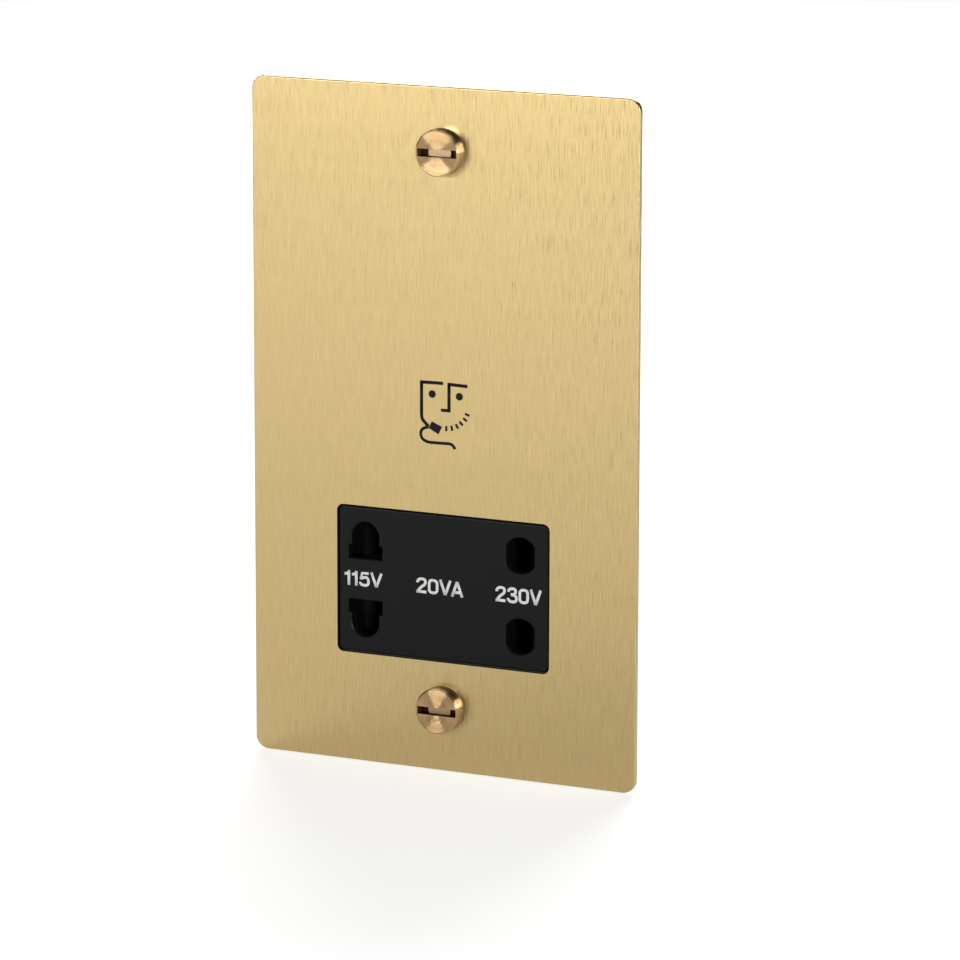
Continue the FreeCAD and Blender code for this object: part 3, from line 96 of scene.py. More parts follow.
class Groups:
    """Shader node groups, each built once and placed with its own values."""

    octave_share: float = 0.6
    mask_middle: float = 0.5

    @classmethod
    def start(cls, name: str, inputs: dict[str, str], outputs: dict[str, str]) -> tuple[
            bpy.types.NodeTree, bpy.types.Node, bpy.types.Node]:
        """Make a group with its sockets and the two nodes that hold them.

        Args:
            name: the group's name.
            inputs: the kind of each input.
            outputs: the kind of each output.

        Returns:
            The new group, its input node and its output node.
        """
        tree = bpy.data.node_groups.new(name, "ShaderNodeTree")
        for side, sockets in (("INPUT", inputs), ("OUTPUT", outputs)):
            for label, kind in sockets.items():
                tree.interface.new_socket(label, in_out=side, socket_type="NodeSocket" + kind)
        return tree, tree.nodes.new("NodeGroupInput"), tree.nodes.new("NodeGroupOutput")

    @classmethod
    @cache
    def streaks(cls) -> bpy.types.NodeTree:
        """Noise stretched by a scale of its own along each axis, from 0 to 1.

        Returns:
            The group, which puts out a mask.
        """
        tree, entry, leave = cls.start(
            "streaks", {"Vector": "Vector", "Scale": "Vector", "Detail": "Float"},
            {"Mask": "Float"})
        stretch = tree.nodes.new("ShaderNodeVectorMath")
        stretch.operation = "MULTIPLY"
        noise = tree.nodes.new("ShaderNodeTexNoise")
        noise.inputs["Scale"].default_value = 1.0
        noise.inputs["Roughness"].default_value = cls.octave_share
        link(tree, (
            (entry.outputs["Vector"], stretch.inputs[0]),
            (entry.outputs["Scale"], stretch.inputs[1]),
            (stretch.outputs[0], noise.inputs["Vector"]),
            (entry.outputs["Detail"], noise.inputs["Detail"]),
            (noise.outputs["Fac"], leave.inputs["Mask"])))
        return tree

    @classmethod
    @cache
    def grooves(cls) -> bpy.types.NodeTree:
        """A normal that leans across the grooves of a tool, to either side by a mask.

        Returns:
            The group, which puts out a normal.
        """
        tree, entry, leave = cls.start(
            "grooves", {"Normal": "Vector", "Along": "Vector", "Mask": "Float", "Lean": "Float"},
            {"Normal": "Vector"})
        steps = {}
        for name in ("CROSS_PRODUCT", "SCALE", "ADD", "NORMALIZE"):
            steps[name] = tree.nodes.new("ShaderNodeVectorMath")
            steps[name].operation = name
        centred = tree.nodes.new("ShaderNodeMath")
        centred.operation = "SUBTRACT"
        centred.inputs[1].default_value = cls.mask_middle
        amount = tree.nodes.new("ShaderNodeMath")
        amount.operation = "MULTIPLY"
        link(tree, (
            (entry.outputs["Normal"], steps["CROSS_PRODUCT"].inputs[0]),
            (entry.outputs["Along"], steps["CROSS_PRODUCT"].inputs[1]),
            (entry.outputs["Mask"], centred.inputs[0]),
            (centred.outputs[0], amount.inputs[0]),
            (entry.outputs["Lean"], amount.inputs[1]),
            (steps["CROSS_PRODUCT"].outputs[0], steps["SCALE"].inputs[0]),
            (amount.outputs[0], steps["SCALE"].inputs["Scale"]),
            (entry.outputs["Normal"], steps["ADD"].inputs[0]),
            (steps["SCALE"].outputs[0], steps["ADD"].inputs[1]),
            (steps["ADD"].outputs[0], steps["NORMALIZE"].inputs[0]),
            (steps["NORMALIZE"].outputs[0], leave.inputs["Normal"])))
        return tree

    @classmethod
    @cache
    def tint(cls) -> bpy.types.NodeTree:
        """A colour between two, as a mask goes from a low to a high value.

        Returns:
            The group, which puts out a colour.
        """
        tree, entry, leave = cls.start(
            "tint", {"Mask": "Float", "Low": "Float", "High": "Float", "Dark": "Color",
                     "Light": "Color"}, {"Colour": "Color"})
        spread = tree.nodes.new("ShaderNodeMapRange")
        mix = tree.nodes.new("ShaderNodeMix")
        mix.data_type = "RGBA"
        link(tree, (
            (entry.outputs["Mask"], spread.inputs["Value"]),
            (entry.outputs["Low"], spread.inputs["From Min"]),
            (entry.outputs["High"], spread.inputs["From Max"]),
            (spread.outputs["Result"], mix.inputs["Factor"]),
            (entry.outputs["Dark"], mix.inputs["A"]),
            (entry.outputs["Light"], mix.inputs["B"]),
            (mix.outputs["Result"], leave.inputs["Colour"])))
        return tree


class Mixer:
    """Short calls that build one material's node tree."""

    def __init__(self, name: str) -> None:
        """Start a material with its one shader.

        Args:
            name: the material's name.
        """
        self.material = bpy.data.materials.new(name)
        self.material.use_nodes = True
        self.tree = self.material.node_tree
        self.shader = next(n for n in self.tree.nodes if n.type == "BSDF_PRINCIPLED")
        self.place = self.add("ShaderNodeTexCoord").outputs["Object"]

    def feed(self, socket: bpy.types.NodeSocket, source: object) -> None:
        """Link a socket to another, or set its value.

        Args:
            socket: the socket that is fed.
            source: the socket that feeds it, or a plain value.
        """
        if isinstance(source, bpy.types.NodeSocket):
            self.tree.links.new(source, socket)
        else:
            socket.default_value = source

    def add(self, kind: str, inputs: dict | None = None, **settings: object) -> bpy.types.Node:
        """Add a node.

        Args:
            kind: the node's type.
            inputs: what feeds each of its inputs.
            **settings: the node's own options.

        Returns:
            The new node.
        """
        node = self.tree.nodes.new(kind)
        for key, choice in settings.items():
            setattr(node, key, choice)
        for key, source in (inputs or {}).items():
            self.feed(node.inputs[key], source)
        return node

    def group(self, tree: bpy.types.NodeTree, inputs: dict) -> bpy.types.NodeSocket:
        """Place a shared group and return its first output."""
        return self.add("ShaderNodeGroup", inputs, node_tree=tree).outputs[0]

    def maths(self, operation: str, *values: object) -> bpy.types.NodeSocket:
        """One step of arithmetic."""
        return self.add("ShaderNodeMath", dict(enumerate(values)), operation=operation).outputs[0]

    def vector(self, operation: str, *values: object) -> bpy.types.NodeSocket:
        """One step of arithmetic on vectors that gives a vector."""
        return self.add("ShaderNodeVectorMath", dict(enumerate(values)),
                        operation=operation).outputs[0]

    def ramp(self, value: bpy.types.NodeSocket, low: float, high: float, start: float,
             end: float) -> bpy.types.NodeSocket:
        """A value that goes from start to end as another goes from low to high.

        Args:
            value: the other value.
            low: where it begins.
            high: where it ends.
            start: the value put out at low.
            end: the value put out at high.

        Returns:
            The value socket.
        """
        return self.add("ShaderNodeMapRange", {
            "Value": value, "From Min": low, "From Max": high,
            "To Min": start, "To Max": end}).outputs["Result"]

    def normal(self) -> bpy.types.NodeSocket:
        """The surface's own normal."""
        return self.add("ShaderNodeNewGeometry").outputs["Normal"]

    def set(self, **values: object) -> None:
        """Feed the shader's own sockets, with spaces in their names as underscores."""
        for key, source in values.items():
            self.feed(self.shader.inputs[key.replace("_", " ")], source)

    def bump(self, height: bpy.types.NodeSocket, strength: float,
             distance: float) -> bpy.types.NodeSocket:
        """Turn a height into a normal.

        Args:
            height: the height mask.
            strength: how much of the bump shows.
            distance: the height of the mask's full range, in metres.

        Returns:
            The normal socket.
        """
        return self.add("ShaderNodeBump", {"Height": height, "Strength": strength,
                                           "Distance": distance}).outputs["Normal"]

    def grooves(self, mask: bpy.types.NodeSocket, along: object, lean: object,
                normal: bpy.types.NodeSocket | None = None) -> bpy.types.NodeSocket:
        """A normal that leans across grooves.

        Args:
            mask: noise that changes from groove to groove, with its middle at 0.5.
            along: the direction of the grooves.
            lean: the lean at the mask's full range, as a slope.
            normal: the normal that leans, or None for the surface's own.

        Returns:
            The normal socket.
        """
        return self.group(Groups.grooves(), {"Normal": normal or self.normal(), "Along": along,
                                             "Mask": mask, "Lean": lean})

    def streaks(self, scale: Triple, detail: float = 2.0,
                place: bpy.types.NodeSocket | None = None) -> bpy.types.NodeSocket:
        """Noise with cells of its own length along each axis, given as cells per metre."""
        return self.group(Groups.streaks(), {"Vector": place or self.place, "Scale": scale,
                                             "Detail": detail})

    def tint(self, mask: bpy.types.NodeSocket, low: float, high: float, dark: Colour,
             light: Colour) -> bpy.types.NodeSocket:
        """A colour that goes from dark to light as the mask goes from low to high."""
        return self.group(Groups.tint(), {"Mask": mask, "Low": low, "High": high,
                                          "Dark": (*dark, 1.0), "Light": (*light, 1.0)})


def shaded(colour: Colour, factor: float) -> Colour:
    """The colour made lighter or darker by a factor."""
    return tuple(min(1.0, part * factor) for part in colour)


def per_metre(cell: float) -> float:
    """How many cells of so many millimetres fit in a metre."""
    return 1.0 / (cell * MM)


# Finishes


@dataclass(frozen=True)
class Finish:
    """A plain finish with a fine, even mottle."""

    name: str
    colour: Colour
    roughness: float = 0.45
    metallic: float = 0.0
    coat: float = 0.0
    mottle: float = 0.04
    cell: float = 1.2
    specular: float = 0.5

    def start(self) -> Mixer:
        """The material with its plain values set.

        Returns:
            The mixer that holds the material.
        """
        mixer = Mixer(self.name)
        mixer.set(Metallic=self.metallic, Roughness=self.roughness, Coat_Weight=self.coat,
                  Specular_IOR_Level=self.specular)
        return mixer

    def mottled(self, mixer: Mixer, mask: bpy.types.NodeSocket, low: float = 0.3,
                high: float = 0.7) -> bpy.types.NodeSocket:
        """The finish's colour, made darker and lighter by a mask.

        Args:
            mixer: the material being built.
            mask: the noise that the mottle follows.
            low: the mask's value where the colour is darkest.
            high: the mask's value where it is lightest.

        Returns:
            The colour socket.
        """
        return mixer.tint(mask, low, high, shaded(self.colour, 1 - self.mottle),
                          shaded(self.colour, 1 + self.mottle))

    def make(self) -> bpy.types.Material:
        """Build the material.

        Returns:
            The finished material.
        """
        mixer = self.start()
        mask = mixer.streaks((per_metre(self.cell),) * 3, 4.0)
        mixer.set(Base_Color=self.mottled(mixer, mask))
        return mixer.material


@dataclass(frozen=True)
class BrushedMetal(Finish):
    """Sheet metal brushed upwards, with its grooves in cells per metre."""

    across: float = 5200.0
    deep: float = 10.0
    along: float = 200.0
    broader: float = 2.0
    longer: float = 1.3
    lean: float = 1.1
    gloss_change: float = 0.15

    def make(self) -> bpy.types.Material:
        """Build the material: fine and broad streaks in colour, gloss and lean.

        Returns:
            The finished material.
        """
        mixer = self.start()
        fine = mixer.streaks((self.across, self.deep, self.along), 3.0)
        broad = mixer.streaks((self.across / self.broader, self.deep,
                               self.along / self.longer), 2.0)
        mask = mixer.maths("ADD", mixer.maths("MULTIPLY", fine, 0.5),
                           mixer.maths("MULTIPLY", broad, 0.5))
        mixer.set(Base_Color=self.mottled(mixer, mask, 0.25, 0.75),
                  Roughness=mixer.ramp(fine, 0.2, 0.8, self.roughness * (1 - self.gloss_change),
                                       self.roughness * (1 + self.gloss_change)),
                  Normal=mixer.grooves(fine, (0.0, 0.0, 1.0), self.lean))
        return mixer.material


@dataclass(frozen=True)
class ContactMetal(Finish):
    """Sprung strip, bright at the back and darkened by painted shade inside its chamber."""

    # Painted shade: the strip's colour where it lies in the closed chamber's shade
    painted_chamber_shade: Colour = (0.02, 0.014, 0.007)
    bright_from: float = 22.0
    blend: float = 1.5
    patches: float = 900.0

    def make(self) -> bpy.types.Material:
        """Build the material: painted shade, near-black, in front of the chamber's back wall.

        Returns:
            The finished material.
        """
        mixer = self.start()
        depth = mixer.add("ShaderNodeSeparateXYZ", {0: mixer.place}).outputs["Y"]
        wave = mixer.maths("MULTIPLY", mixer.streaks((self.patches,) * 3, 3.0),
                           self.blend * MM)
        # Painted shade: near-black in front of bright_from, blending over a wavy band into the
        # strip's own colour
        mixer.set(Base_Color=mixer.tint(mixer.maths("ADD", depth, wave),
                                        (self.bright_from - self.blend) * MM,
                                        (self.bright_from + self.blend) * MM,
                                        self.painted_chamber_shade, self.colour))
        return mixer.material


@dataclass(frozen=True)
class TurnedMetal(Finish):
    """Metal turned on a lathe, with rings about each fixing's axis. Sizes are in millimetres."""

    pitch: float = 0.03
    lean: float = 4.2
    front: float = -4.2
    rim_from: float = 4.6
    rim_roughness: float = 0.05
    crown: float = 0.85
    crown_depth: float = 5.0
    slot_from: float = 0.15
    slot_reach: float = 4.7
    slot_roughness: float = 0.4
    # Painted shade: a near-black brown for the slot's floor and walls, which lie in shade
    painted_slot_shade: Colour = (0.05, 0.024, 0.01)

    def make(self) -> bpy.types.Material:
        """Build the material: turned rings, a crowned rim and a slot darkened by painted shade.

        Returns:
            The finished material.
        """
        mixer = self.start()
        parts = mixer.add("ShaderNodeSeparateXYZ", {0: mixer.place}).outputs
        level = mixer.maths("MULTIPLY", mixer.maths("SIGN", parts["Z"]), FIXING_LEVEL * MM)
        up = mixer.maths("SUBTRACT", parts["Z"], level)
        flat = mixer.add("ShaderNodeCombineXYZ", {"X": parts["X"], "Z": up}).outputs[0]
        reach = mixer.add("ShaderNodeVectorMath", {0: flat}, operation="LENGTH").outputs["Value"]
        along = mixer.vector("NORMALIZE", mixer.vector("CROSS_PRODUCT", flat, (0.0, 1.0, 0.0)))
        spot = mixer.add("ShaderNodeCombineXYZ", {"X": reach, "Y": parts["Y"]}).outputs[0]
        rings = mixer.streaks((per_metre(self.pitch), per_metre(self.pitch), 1.0), 2.0, spot)
        behind = mixer.maths("GREATER_THAN", parts["Y"], (self.front + self.slot_from) * MM)
        inside = mixer.maths("LESS_THAN", reach, self.slot_reach * MM)
        slot = mixer.maths("MULTIPLY", behind, inside)
        rim = mixer.maths("GREATER_THAN", reach, self.rim_from * MM)
        rough = mixer.maths("MULTIPLY_ADD", rim, self.rim_roughness, self.roughness)
        # The slot behind the face takes the painted shade colour in place of the turned colour
        colour = mixer.add("ShaderNodeMix", {"Factor": slot, "A": self.mottled(mixer, rings),
                                             "B": (*self.painted_slot_shade, 1.0)}, data_type="RGBA")
        mixer.set(Base_Color=colour.outputs["Result"],
                  Roughness=mixer.maths("MULTIPLY_ADD", slot, self.slot_roughness, rough),
                  Normal=mixer.grooves(rings, along, self.lean, self.crowned(mixer, parts)))
        return mixer.material

    def crowned(self, mixer: Mixer, parts: bpy.types.bpy_prop_collection) -> bpy.types.NodeSocket:
        """The surface's normal, turned forwards on the rim as if its edge were rounded.

        Args:
            mixer: the material being built.
            parts: the place's parts along each axis.

        Returns:
            The normal socket.
        """
        depth = mixer.ramp(parts["Y"], self.front * MM, (self.front + self.crown_depth) * MM,
                           -self.crown, 0.0)
        turn = mixer.add("ShaderNodeCombineXYZ", {"Y": depth}).outputs[0]
        return mixer.vector("NORMALIZE", mixer.vector("ADD", mixer.normal(), turn))


@dataclass(frozen=True)
class Moulding(Finish):
    """Moulded plastic with a fine spark-eroded skin and broad faint patches."""

    grain: float = 0.25
    patches: float = 120.0
    depth: float = 0.004
    bumpiness: float = 0.5

    def make(self) -> bpy.types.Material:
        """Build the material: an even skin with a faint mottle.

        Returns:
            The finished material.
        """
        mixer = self.start()
        skin = mixer.streaks((per_metre(self.grain),) * 3, 3.0)
        patch = mixer.streaks((self.patches,) * 3, 3.0)
        mixer.set(Base_Color=self.mottled(mixer, patch),
                  Normal=mixer.bump(skin, self.bumpiness, self.depth * MM))
        return mixer.material


@dataclass(frozen=True)
class Banded(Finish):
    """Layers or turns stacked one way: laminations, wound wire or wrapped tape."""

    second: Colour = (0.1, 0.1, 0.1)
    direction: Triple = (0.0, 1.0, 0.0)
    pitch: float = 0.5
    depth: float = 0.03
    wander: float = 0.15
    patches: float = 300.0
    band_from: float = 0.2

    def make(self) -> bpy.types.Material:
        """Build the material: bands across the direction, a little uneven.

        Returns:
            The finished material.
        """
        mixer = self.start()
        level = mixer.add("ShaderNodeVectorMath", {0: mixer.place, 1: self.direction},
                          operation="DOT_PRODUCT").outputs["Value"]
        drift = mixer.maths("MULTIPLY", mixer.streaks((self.patches,) * 3, 1.0),
                            self.wander * self.pitch * MM)
        phase = mixer.maths("MULTIPLY", mixer.maths("ADD", level, drift),
                            2 * math.pi / (self.pitch * MM))
        wave = mixer.maths("SINE", phase)
        mixer.set(Base_Color=mixer.tint(wave, -1.0, self.band_from, self.second, self.colour),
                  Normal=mixer.bump(wave, 1.0, self.depth / 2 * MM))
        return mixer.material


FINISHES: tuple[Finish, ...] = (
    BrushedMetal("brushed_brass", (0.434, 0.328, 0.153), 0.31, 1.0, mottle=0.12),
    TurnedMetal("turned_brass", (0.37, 0.245, 0.122), 0.10, 1.0, mottle=0.05),
    ContactMetal("spring_brass", (0.72, 0.55, 0.28), 0.32, 1.0, mottle=0.05),
    Finish("terminal_brass", (0.76, 0.60, 0.33), 0.28, 1.0, cell=0.4),
    BrushedMetal("zinc_steel", (0.66, 0.67, 0.69), 0.33, 1.0, mottle=0.06),
    Finish("spring_steel", (0.55, 0.56, 0.58), 0.3, 1.0),
    Banded("core_steel", (0.30, 0.27, 0.23), 0.42, 0.6, coat=0.3, second=(0.10, 0.085, 0.07)),
    Moulding("black_moulding", (0.0035, 0.0035, 0.0034), 0.34, mottle=0.05, specular=0.11),
    Moulding("slider_moulding", (0.004, 0.004, 0.004), 0.6, specular=0.08),
    Moulding("chassis_moulding", (0.72, 0.70, 0.65), 0.42, mottle=0.02),
    Moulding("block_moulding", (0.008, 0.008, 0.008), 0.5, specular=0.15),
    Moulding("bobbin_moulding", (0.62, 0.54, 0.38), 0.45, mottle=0.03),
    Banded("copper_wire", (0.62, 0.26, 0.10), 0.28, 0.9, coat=0.4,
           second=(0.25, 0.08, 0.03), direction=(0.0, 0.0, 1.0), pitch=0.3),
    Banded("yellow_tape", (0.74, 0.52, 0.07), 0.3, coat=0.5, second=(0.66, 0.45, 0.05),
           direction=(0.0, 0.0, 1.0), pitch=5.5, depth=0.05),
    Finish("tinned_pin", (0.72, 0.73, 0.74), 0.3, 1.0, cell=0.5),
    Moulding("cutout_case", (0.02, 0.02, 0.022), 0.3, coat=0.3),
    Finish("lead_brown", (0.16, 0.06, 0.025), 0.35, coat=0.2),
    Finish("lead_blue", (0.02, 0.08, 0.36), 0.35, coat=0.2),
    Finish("lead_red", (0.45, 0.02, 0.015), 0.35, coat=0.2),
    Finish("lead_white", (0.72, 0.72, 0.69), 0.35, coat=0.2),
    Finish("lead_violet", (0.15, 0.04, 0.25), 0.35, coat=0.2),
    Banded("lead_green_yellow", (0.62, 0.55, 0.03), 0.35, coat=0.2,
           second=(0.03, 0.22, 0.05), direction=(0.35, 0.94, 0.3), pitch=3.0, depth=0.0),
)
INK = Finish("black_ink", (0.004, 0.0035, 0.005), 0.5, specular=0.1)
PAINT = Finish("pale_ink", (0.52, 0.52, 0.51), 0.5)
SCREW = Finish("bright_screw_brass", (0.31, 0.22, 0.125), 0.4, 1.0, mottle=0.12, cell=0.5)
SOLDER = Finish("solder", (0.62, 0.63, 0.64), 0.28, 1.0, cell=0.6)
BY_SLOT = {finish.name: finish for finish in FINISHES}


class Materials:
    """The made materials, by the name of their slot."""

    made: dict[str, bpy.types.Material] = {}

    @classmethod
    def give(cls, piece: bpy.types.Object, finish: Finish) -> None:
        """Put a finish on a whole piece.

        Args:
            piece: the piece, new or from the CAD.
            finish: its finish, which is made when it is first given.
        """
        if finish.name not in cls.made:
            cls.made[finish.name] = finish.make()
        piece.data.materials.clear()
        piece.data.materials.append(cls.made[finish.name])

    @classmethod
    def dress_nodes(cls) -> None:
        """Give each CAD node the finish of its slot in the record."""
        for row in frame["record"]["subparts"]:
            cls.give(frame["nodes"][row["node"]], BY_SLOT[row["material_slot"]])


# Shared modelling steps


def only(piece: bpy.types.Object) -> None:
    """Select one piece and nothing else.

    Args:
        piece: the piece.
    """
    bpy.ops.object.select_all(action="DESELECT")
    piece.select_set(True)
    bpy.context.view_layer.objects.active = piece


def edit(piece: bpy.types.Object, select: str = "SELECT") -> None:
    """Open a piece in edit mode with all or none of it selected.

    Args:
        piece: the piece.
        select: SELECT for all of it, or DESELECT for none.
    """
    only(piece)
    bpy.ops.object.mode_set(mode="EDIT")
    bpy.ops.mesh.select_all(action=select)


def leave_edit() -> None:
    """Close edit mode."""
    bpy.ops.object.mode_set(mode="OBJECT")


def apply_place(piece: bpy.types.Object) -> None:
    """Move a piece's place, turn and scale into its mesh."""
    only(piece)
    bpy.ops.object.transform_apply(location=True, rotation=True, scale=True)


def to_mesh(piece: bpy.types.Object) -> None:
    """Turn a curve into a mesh."""
    only(piece)
    bpy.ops.object.convert(target="MESH")


def join(name: str, pieces: list[bpy.types.Object]) -> bpy.types.Object:
    """Join pieces into one object.

    Args:
        name: the joined object's name.
        pieces: the pieces, which become one.

    Returns:
        The joined object.
    """
    only(pieces[0])
    for piece in pieces[1:]:
        piece.select_set(True)
    if len(pieces) > 1:
        bpy.ops.object.join()
    pieces[0].name = name
    pieces[0].data.name = name
    return pieces[0]


def wind(piece: bpy.types.Object, axis: str, pitch: float, turns: int, steps: int) -> None:
    """Sweep a closed outline along a helix about an axis through the origin, and close its ends.

    Args:
        piece: the outline, which becomes the wound form.
        axis: the axis that it winds about.
        pitch: how far it goes in a turn, in millimetres.
        turns: how many turns it makes.
        steps: how many steps make a turn.
    """
    screw = piece.modifiers.new("turns", "SCREW")
    screw.axis = axis
    screw.screw_offset = pitch * MM
    screw.iterations = turns
    screw.steps = steps
    screw.render_steps = steps
    only(piece)
    bpy.ops.object.modifier_apply(modifier=screw.name)
    edit(piece, "DESELECT")
    bpy.ops.mesh.select_non_manifold()
    bpy.ops.mesh.fill_holes(sides=0)
    leave_edit()


def settle(piece: bpy.types.Object, finish: Finish, smooth: bool = True) -> None:
    """Close a new piece's seams, turn its faces outwards, dress it and fix it to its body.

    Args:
        piece: the new piece.
        finish: its finish.
        smooth: whether shallow edges are shaded smooth.
    """
    edit(piece)
    bpy.ops.mesh.remove_doubles(threshold=SEAM * MM)
    bpy.ops.mesh.normals_make_consistent(inside=False)
    leave_edit()
    if smooth:
        bpy.ops.object.shade_smooth_by_angle(angle=SMOOTH_ANGLE)
    Materials.give(piece, finish)
    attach(piece, FIXED)
    LOG.info("%s: %d faces", piece.name, len(piece.data.polygons))


# The printed marks


@dataclass
class Print:
    """A thin print on a flat front, drawn with strokes of one width."""

    depth: float
    stroke: float
    thickness: float = 0.04
    roundness: int = 3
    smoothness: int = 8

    def line(self, spots: tuple[Spot, ...], run: Run = Run.STRAIGHT,
             width: float | None = None) -> bpy.types.Object:
        """Args:
            spots: (across, up) points in millimetres.
            run: how the path runs between its points.
            width: the stroke's width in millimetres, or None for the print's own.

        Returns:
            The stroke as a mesh.
        """
        bpy.ops.curve.primitive_nurbs_path_add(location=(0, 0, 0))
        path = bpy.context.object
        path.data.splines.clear()
        spline = path.data.splines.new(run.value)
        spline.points.add(len(spots) - 1)
        for point, (across, up) in zip(spline.points, spots):
            point.co = (across * MM, 0, up * MM, 1)
        if run is Run.CURVED:
            spline.order_u = 3
            spline.use_endpoint_u = True
        path.data.bevel_depth = (width or self.stroke) / 2 * MM
        path.data.bevel_resolution = self.roundness
        path.data.resolution_u = self.smoothness
        path.data.use_fill_caps = True
        to_mesh(path)
        return path

    def finish(self, name: str, slot: str, parts: list[bpy.types.Object],
               ink: Finish) -> None:
        """Join the strokes, flatten them onto the front and dress them.

        Args:
            name: the print's name.
            slot: the record's slot of what it is printed on; not used.
            parts: its strokes and filled shapes.
            ink: its ink.
        """
        marks = join(name, parts)
        marks.scale = (1, self.thickness / self.stroke, 1)
        marks.location = (0, (self.depth - self.thickness / 4) * MM, 0)
        apply_place(marks)
        settle(marks, ink, smooth=False)


@dataclass
class Ratings(Print):
    """The plain voltage and power figures printed on the black face."""

    depth: float = -0.9
    stroke: float = 0.66
    gap: float = 0.07
    rise: float = 0.1
    # Pairs of figures that stand closer, by a share of their height
    closer: tuple[tuple[str, float], ...] = (("VA", 0.14), ("5V", 0.05), ("0V", 0.05))
    # Each row's figures, its middle across, its width and its height
    rows: tuple[tuple[str, float, float, float], ...] = (
        ("115V", -18.9, 9.25, 3.25),
        ("20VA", -0.75, 11.25, 3.42),
        ("230V", 17.75, 10.9, 3.42),
    )
    # Each figure's width and its strokes, in shares of its height
    figures: tuple[tuple[str, float, tuple], ...] = (
        ("1", 0.40, ((Run.STRAIGHT, ((0.30, 0.0), (0.30, 1.0))),
                     (Run.STRAIGHT, ((0.02, 0.74), (0.26, 0.80))))),
        ("2", 0.68, ((Run.CURVED, ((0.09, 0.66), (0.10, 0.90), (0.60, 0.94), (0.60, 0.58),
                                   (0.30, 0.40), (0.12, 0.12))),
                     (Run.STRAIGHT, ((0.02, 0.10), (0.66, 0.10))))),
        ("3", 0.68, ((Run.CURVED, ((0.10, 0.70), (0.12, 0.91), (0.57, 0.93), (0.57, 0.54),
                                   (0.26, 0.54))),
                     (Run.CURVED, ((0.26, 0.54), (0.62, 0.54), (0.62, 0.07), (0.09, 0.09),
                                   (0.08, 0.30))))),
        ("5", 0.68, ((Run.STRAIGHT, ((0.62, 0.90), (0.20, 0.90), (0.12, 0.46))),
                     (Run.CURVED, ((0.12, 0.50), (0.28, 0.64), (0.60, 0.60), (0.62, 0.08),
                                   (0.09, 0.08), (0.08, 0.28))))),
        ("0", 0.68, ((Run.CURVED, ((0.34, 0.90), (0.58, 0.90), (0.60, 0.50), (0.58, 0.10),
                                   (0.34, 0.10))),
                     (Run.CURVED, ((0.34, 0.90), (0.10, 0.90), (0.08, 0.50), (0.10, 0.10),
                                   (0.34, 0.10))))),
        ("V", 0.82, ((Run.STRAIGHT, ((0.09, 1.0), (0.41, 0.04))),
                     (Run.STRAIGHT, ((0.73, 1.0), (0.41, 0.04))))),
        ("A", 0.82, ((Run.STRAIGHT, ((0.09, 0.0), (0.41, 0.96))),
                     (Run.STRAIGHT, ((0.73, 0.0), (0.41, 0.96))),
                     (Run.STRAIGHT, ((0.22, 0.28), (0.6, 0.28))))),
    )

    def row(self, words: str, middle: float, width: float, height: float) -> list:
        """The strokes of one row of figures.

        Args:
            words: the figures.
            middle: the row's middle across, in millimetres.
            width: its width, in millimetres.
            height: its height, in millimetres.

        Returns:
            The strokes.
        """
        known = {key: (wide, strokes) for key, wide, strokes in self.figures}
        steps = [known[key][0] + self.gap - dict(self.closer).get(key + after, 0.0)
                 for key, after in zip(words, words[1:])]
        spread = width / (sum(steps) + known[words[-1]][0])
        left = middle - width / 2
        parts = []
        for key, step in zip(words, steps + [0.0]):
            strokes = known[key][1]
            for run, spots in strokes:
                parts.append(self.line(tuple(
                    (left + across * spread, SOCKET_LEVEL + self.rise + (up - 0.5) * height)
                    for across, up in spots), run))
            left += step * spread
        return parts

    def build(self) -> None:
        """Make the figures as one printed piece."""
        parts = []
        for row in self.rows:
            parts += self.row(*row)
        self.finish("face_ratings", "black_moulding", parts, PAINT)


